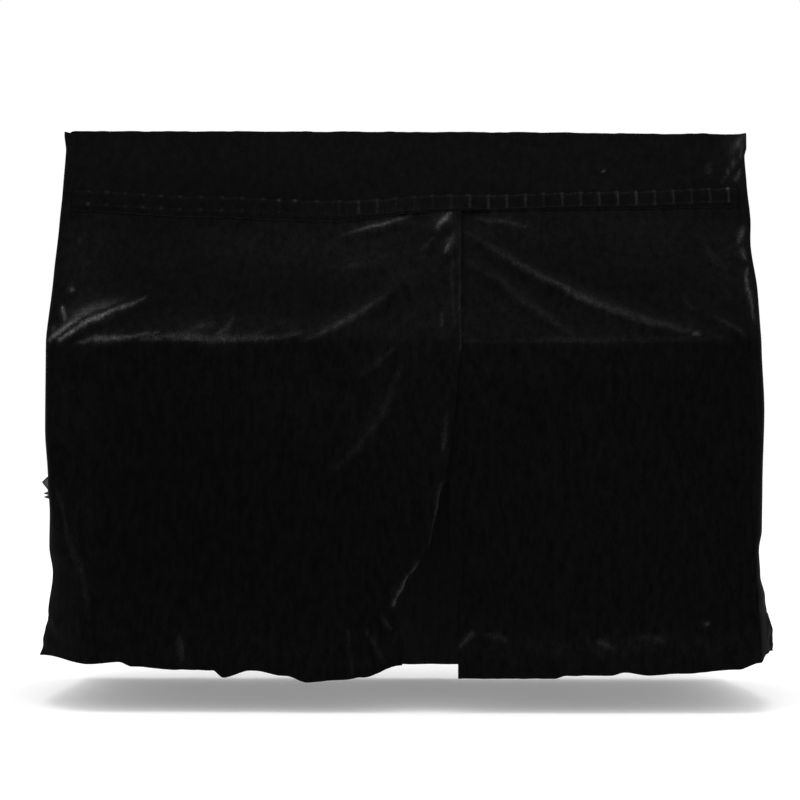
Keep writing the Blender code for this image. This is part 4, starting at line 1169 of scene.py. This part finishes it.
def satin_ribbon(name):
    """Woven satin ribbon, grey, with a soft gloss along its ribs, drawn 3.5 mm apart so that they show."""
    colours = bpy.context.scene.cover_colours
    material, tree = clear_material(name)
    place = add_node(tree, "ShaderNodeTexCoord").outputs["Object"]
    ribs = add_node(
        tree, "ShaderNodeTexWave",
        {"Scale": 1.0 / 0.0035, "Distortion": 0.6, "bands_direction": "Z"},
        {"Vector": place},
    ).outputs["Fac"]
    bump = add_node(
        tree, "ShaderNodeBump", {"Strength": 0.25, "Distance": 0.0003}, {"Height": ribs}
    ).outputs["Normal"]
    shader = add_node(
        tree, "ShaderNodeBsdfPrincipled",
        {"Base Color": linear_colour(colours.ribbon), "Roughness": 0.42, "Specular IOR Level": 0.4},
        {"Normal": bump},
    )
    add_node(tree, "ShaderNodeOutputMaterial", links={"Surface": shader.outputs["BSDF"]})
    return material


def face_outwards(mesh):
    """Turn a sheet round where its right side came out facing into the cover."""
    facing = sum(face.normal.dot(face.center - INSIDE) for face in mesh.polygons)
    if facing < 0.0:
        mesh.flip_normals()


def lay_cloth(name, across, down, place, materials, thickness, hem_thickness):
    """Add a grid, lay it along place(u, v) and thicken it to both sides, more where it is hemmed.

    The materials are the right side's, and the wrong side's if that differs.
    """
    bpy.ops.object.select_all(action="DESELECT")
    bpy.ops.mesh.primitive_grid_add(x_subdivisions=across, y_subdivisions=down, size=1.0)
    sheet = bpy.context.active_object
    sheet.name = name
    mesh = sheet.data
    mesh.name = name
    corners = np.empty(len(mesh.vertices) * 3, np.float32)
    mesh.vertices.foreach_get("co", corners)
    corners = corners.reshape(-1, 3).astype(float)
    points, gleam, doubled = place(corners[:, 0] + 0.5, 0.5 - corners[:, 1])
    mesh.vertices.foreach_set("co", points.astype(np.float32).ravel())
    # The painted highlights and painted sheen, stored for the velvet's colour
    shine = mesh.attributes.new("gleam", "FLOAT", "POINT")
    shine.data.foreach_set("value", gleam.astype(np.float32))
    hemmed = sheet.vertex_groups.new(name="hemmed")
    least = thickness / hem_thickness
    for index in np.nonzero(doubled > 0.01)[0]:
        hemmed.add([int(index)], float(least + (1.0 - least) * doubled[index]), "REPLACE")
    for material in materials:
        mesh.materials.append(material)
    face_outwards(mesh)
    solid = sheet.modifiers.new("Thickness", "SOLIDIFY")
    solid.material_offset = len(materials) - 1
    solid.thickness = hem_thickness
    solid.offset = 0.0
    solid.use_even_offset = False
    solid.vertex_group = "hemmed"
    solid.thickness_vertex_group = least
    bpy.ops.object.modifier_apply(modifier=solid.name)
    bpy.ops.object.shade_smooth_by_angle(angle=radians(50.0))
    sheet.vertex_groups.clear()
    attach(sheet, BODY)
    return sheet


def make_panel(name, node, place, finish, faces=None, thickness=None):
    """One finished panel of velvet that stands for its plain solid."""
    sizes = bpy.context.scene.cover_sizes
    across, down = faces or SHEET_FACES[name]
    sides = (finish, ground_weave(name + "_wrong_side"))
    sheet = lay_cloth(name, across, down, place, sides, thickness or sizes.cloth, thickness or sizes.hem_cloth)
    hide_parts(node)
    return sheet


def run_stitches(name, paths, length, gap, radius, material):
    """Lines of running stitches as short threads: a path is a list of points and outward directions."""
    bpy.ops.object.select_all(action="DESELECT")
    thread = bmesh.new()
    for path in paths:
        points = [Vector(p) for p, _ in path]
        outs = [Vector(n) for _, n in path]
        travelled = 0.0
        start = 0.0
        distances = [0.0]
        for a, b in zip(points, points[1:]):
            travelled += (b - a).length
            distances.append(travelled)
        while start + length < travelled:
            ends = []
            for at in (start, start + length):
                place = int(np.clip(np.searchsorted(distances, at) - 1, 0, len(points) - 2))
                share = (at - distances[place]) / max(distances[place + 1] - distances[place], 1e-9)
                ends.append((points[place].lerp(points[place + 1], share), outs[place]))
            (a, out_a), (b, _) = ends
            middle = (a + b) / 2.0 + out_a * radius * 0.6
            along = (b - a).normalized()
            turn = Matrix((along.cross(out_a).normalized(), out_a, along)).transposed().to_4x4()
            made = bmesh.ops.create_uvsphere(thread, u_segments=6, v_segments=4, radius=1.0)
            size = Matrix.Diagonal((radius, radius * 0.8, (b - a).length / 2.0, 1.0))
            bmesh.ops.transform(thread, matrix=Matrix.Translation(middle) @ turn @ size, verts=made["verts"])
            start += length + gap
    mesh = bpy.data.meshes.new(name)
    thread.to_mesh(mesh)
    thread.free()
    mesh.shade_smooth()
    mesh.materials.append(material)
    piece = bpy.data.objects.new(name, mesh)
    bpy.context.scene.collection.objects.link(piece)
    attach(piece, BODY)
    return piece


def path_on(place, us, vs, lift):
    """Points on a sheet at shares us, vs, lifted off its middle, with the outward direction."""
    us = np.asarray(us, float)
    vs = np.asarray(vs, float)
    points = place(us, vs)[0]
    out = front_normal(points[:, 2])
    return [(p + n * lift, n) for p, n in zip(points, out)]


class COVER_OT_top_panel(bpy.types.Operator):
    """Lay the top panel on the lid"""

    bl_idname = "cover.top_panel"
    bl_label = "Top Panel"

    def execute(self, context):
        panel = make_panel("lid_velvet", "lid_panel", lid, cotton_velvet("velvet_top", 0.8))
        return {"FINISHED"}


class COVER_OT_front_band(bpy.types.Operator):
    """Hang the plain upper front band"""

    bl_idname = "cover.front_band"
    bl_label = "Front Band"

    def execute(self, context):
        panel = make_panel("band_velvet", "front_band", band, cotton_velvet("velvet_band", 0.7))
        return {"FINISHED"}


class COVER_OT_pleated_strip(bpy.types.Operator):
    """Sew the pleated strip over the join of band and curtains"""

    bl_idname = "cover.pleated_strip"
    bl_label = "Pleated Strip"

    def execute(self, context):
        sizes = context.scene.cover_sizes
        faces = (sizes.pleats * FACES_PER_PLEAT, STRIP_ROWS)
        velvet = cotton_velvet("velvet_strip", 0.8)
        panel = make_panel("strip_velvet", "pleated_strip", strip, velvet, faces, STRIP_CLOTH)
        shares = np.linspace(0.004, 0.996, sizes.pleats * 10)
        seams = [(1.0 - across) / 2.0 for across in (TOP_STITCHES, FOOT_STITCHES)]
        rows = [path_on(strip, shares, np.full_like(shares, v), STRIP_CLOTH / 2.0) for v in seams]
        stitches = run_stitches("strip_stitches", rows, *RUNNING_STITCH, sewing_thread("thread_strip"))
        return {"FINISHED"}


class COVER_OT_curtains(bpy.types.Operator):
    """Hang the two front curtains, the left one over the right one at the slit"""

    bl_idname = "cover.curtains"
    bl_label = "Front Curtains"

    def execute(self, context):
        velvet = cotton_velvet("velvet_left")
        left = make_panel("left_curtain_velvet", "front_curtain_left", left_curtain, velvet)
        velvet = cotton_velvet("velvet_right")
        right = make_panel("right_curtain_velvet", "front_curtain_right", right_curtain, velvet)
        return {"FINISHED"}


class COVER_OT_side_panels(bpy.types.Operator):
    """Hang the two side panels round the corners"""

    bl_idname = "cover.side_panels"
    bl_label = "Side Panels"

    def execute(self, context):
        velvet = cotton_velvet("velvet_side_l")
        left = make_panel("left_side_velvet", "side_panel_left", left_side, velvet)
        velvet = cotton_velvet("velvet_side_r")
        right = make_panel("right_side_velvet", "side_panel_right", right_side, velvet)
        return {"FINISHED"}


class COVER_OT_back_panel(bpy.types.Operator):
    """Hang the plain back panel"""

    bl_idname = "cover.back_panel"
    bl_label = "Back Panel"

    def execute(self, context):
        panel = make_panel("back_velvet", "back_panel", back, cotton_velvet("velvet_back"))
        return {"FINISHED"}


class COVER_OT_side_tie(bpy.types.Operator):
    """Sew the ribbon end to the left edge"""

    bl_idname = "cover.side_tie"
    bl_label = "Side Tie"

    def execute(self, context):
        across, down = SHEET_FACES["tie_ribbon"]
        satin = satin_ribbon("ribbon_satin")
        ribbon = lay_cloth("tie_ribbon", across, down, tie, (satin,), TIE_THICK, TIE_THICK)
        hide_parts("side_tie")
        return {"FINISHED"}


class COVER_OT_stage(bpy.types.Operator):
    """Set up the pale floor, the soft light and the camera"""

    bl_idname = "cover.stage"
    bl_label = "Studio"

    def execute(self, context):
        stage = context.scene.cover_stage
        self.add_floor(context, stage)
        self.add_light(context, stage)
        self.add_camera(context, stage)
        context.scene.view_settings.view_transform = "Standard"
        return {"FINISHED"}

    def add_floor(self, context, stage):
        """A wide pale floor."""
        bpy.ops.object.select_all(action="DESELECT")
        bpy.ops.mesh.primitive_plane_add(size=24.0, location=(0.0, 0.0, stage.floor_z))
        floor = context.active_object
        floor.name = "floor"
        material, tree = clear_material("studio_floor")
        grain = add_node(tree, "ShaderNodeTexNoise", {"Scale": 30.0, "Detail": 2.0}).outputs["Fac"]
        bump = add_node(tree, "ShaderNodeBump", {"Strength": 0.02}, {"Height": grain}).outputs["Normal"]
        shader = add_node(
            tree, "ShaderNodeBsdfPrincipled",
            {
                "Base Color": linear_colour(context.scene.cover_colours.floor),
                "Roughness": 0.9,
                "Specular IOR Level": 0.1,
                "Emission Color": (1.0, 1.0, 1.0, 1.0),
                "Emission Strength": 0.25,
            },
            {"Normal": bump},
        )
        add_node(tree, "ShaderNodeOutputMaterial", links={"Surface": shader.outputs["BSDF"]})
        floor.data.materials.append(material)

    def add_light(self, context, stage):
        """A white surround and one wide soft panel overhead."""
        world = bpy.data.worlds.new("studio_surround")
        world.use_nodes = True
        background = world.node_tree.nodes["Background"]
        background.inputs["Color"].default_value = (1.0, 1.0, 1.0, 1.0)
        background.inputs["Strength"].default_value = stage.sky
        context.scene.world = world
        panel = bpy.data.lights.new("top_panel", "AREA")
        panel.shape = "RECTANGLE"
        panel.size = 3.0
        panel.size_y = 1.6
        panel.energy = stage.top_light
        lamp = bpy.data.objects.new("top_panel", panel)
        lamp.location = (0.0, -0.6, 2.0)
        lamp.rotation_euler = (radians(-12.0), 0.0, 0.0)
        context.scene.collection.objects.link(lamp)

    def add_camera(self, context, stage):
        """The camera, level with the ledge and straight in front."""
        azimuth, turn, tilt, roll = (radians(angle) for angle in stage.angles)
        lens = bpy.data.cameras.new("camera")
        lens.sensor_width = 36.0
        lens.lens = stage.focal_px / 800.0 * lens.sensor_width
        lens.clip_end = 60.0
        camera = bpy.data.objects.new("camera", lens)
        camera.location = (sin(azimuth) * stage.distance, -cos(azimuth) * stage.distance, stage.height)
        aim = Matrix.Rotation(azimuth + turn, 4, "Z") @ Matrix.Rotation(radians(90.0) - tilt, 4, "X")
        camera.rotation_euler = (aim @ Matrix.Rotation(roll, 4, "Z")).to_euler()
        context.scene.collection.objects.link(camera)
        context.scene.camera = camera


class COVER_PT_panel(bpy.types.Panel):
    """Buttons and sizes of the cover"""

    bl_idname = "COVER_PT_panel"
    bl_label = "Fitted Velvet Cover"
    bl_space_type = "VIEW_3D"
    bl_region_type = "UI"
    bl_category = "Cover"

    def draw(self, context):
        for operator in OPERATORS:
            self.layout.operator(operator.bl_idname)
        for group in (context.scene.cover_sizes, context.scene.cover_colours, context.scene.cover_stage):
            for name in group.bl_rna.properties.keys():
                if name not in ("rna_type", "name"):
                    self.layout.prop(group, name)


GROUPS = (CoverSizes, CoverColours, CoverStage)
OPERATORS = (
    COVER_OT_top_panel,
    COVER_OT_front_band,
    COVER_OT_pleated_strip,
    COVER_OT_curtains,
    COVER_OT_side_panels,
    COVER_OT_back_panel,
    COVER_OT_side_tie,
    COVER_OT_stage,
)


def register():
    """Register the classes and hang their properties on the scene."""
    for item in (*GROUPS, *OPERATORS, COVER_PT_panel):
        bpy.utils.register_class(item)
    bpy.types.Scene.cover_sizes = PointerProperty(type=CoverSizes)
    bpy.types.Scene.cover_colours = PointerProperty(type=CoverColours)
    bpy.types.Scene.cover_stage = PointerProperty(type=CoverStage)


def unregister():
    """Take the properties and classes away again."""
    del bpy.types.Scene.cover_sizes
    del bpy.types.Scene.cover_colours
    del bpy.types.Scene.cover_stage
    for item in reversed((*GROUPS, *OPERATORS, COVER_PT_panel)):
        bpy.utils.unregister_class(item)


def main():
    """Build the whole cover."""
    register()
    bpy.ops.cover.top_panel()
    bpy.ops.cover.front_band()
    bpy.ops.cover.pleated_strip()
    bpy.ops.cover.curtains()
    bpy.ops.cover.side_panels()
    bpy.ops.cover.back_panel()
    bpy.ops.cover.side_tie()
    bpy.ops.cover.stage()


if __name__ == "__main__":
    main()
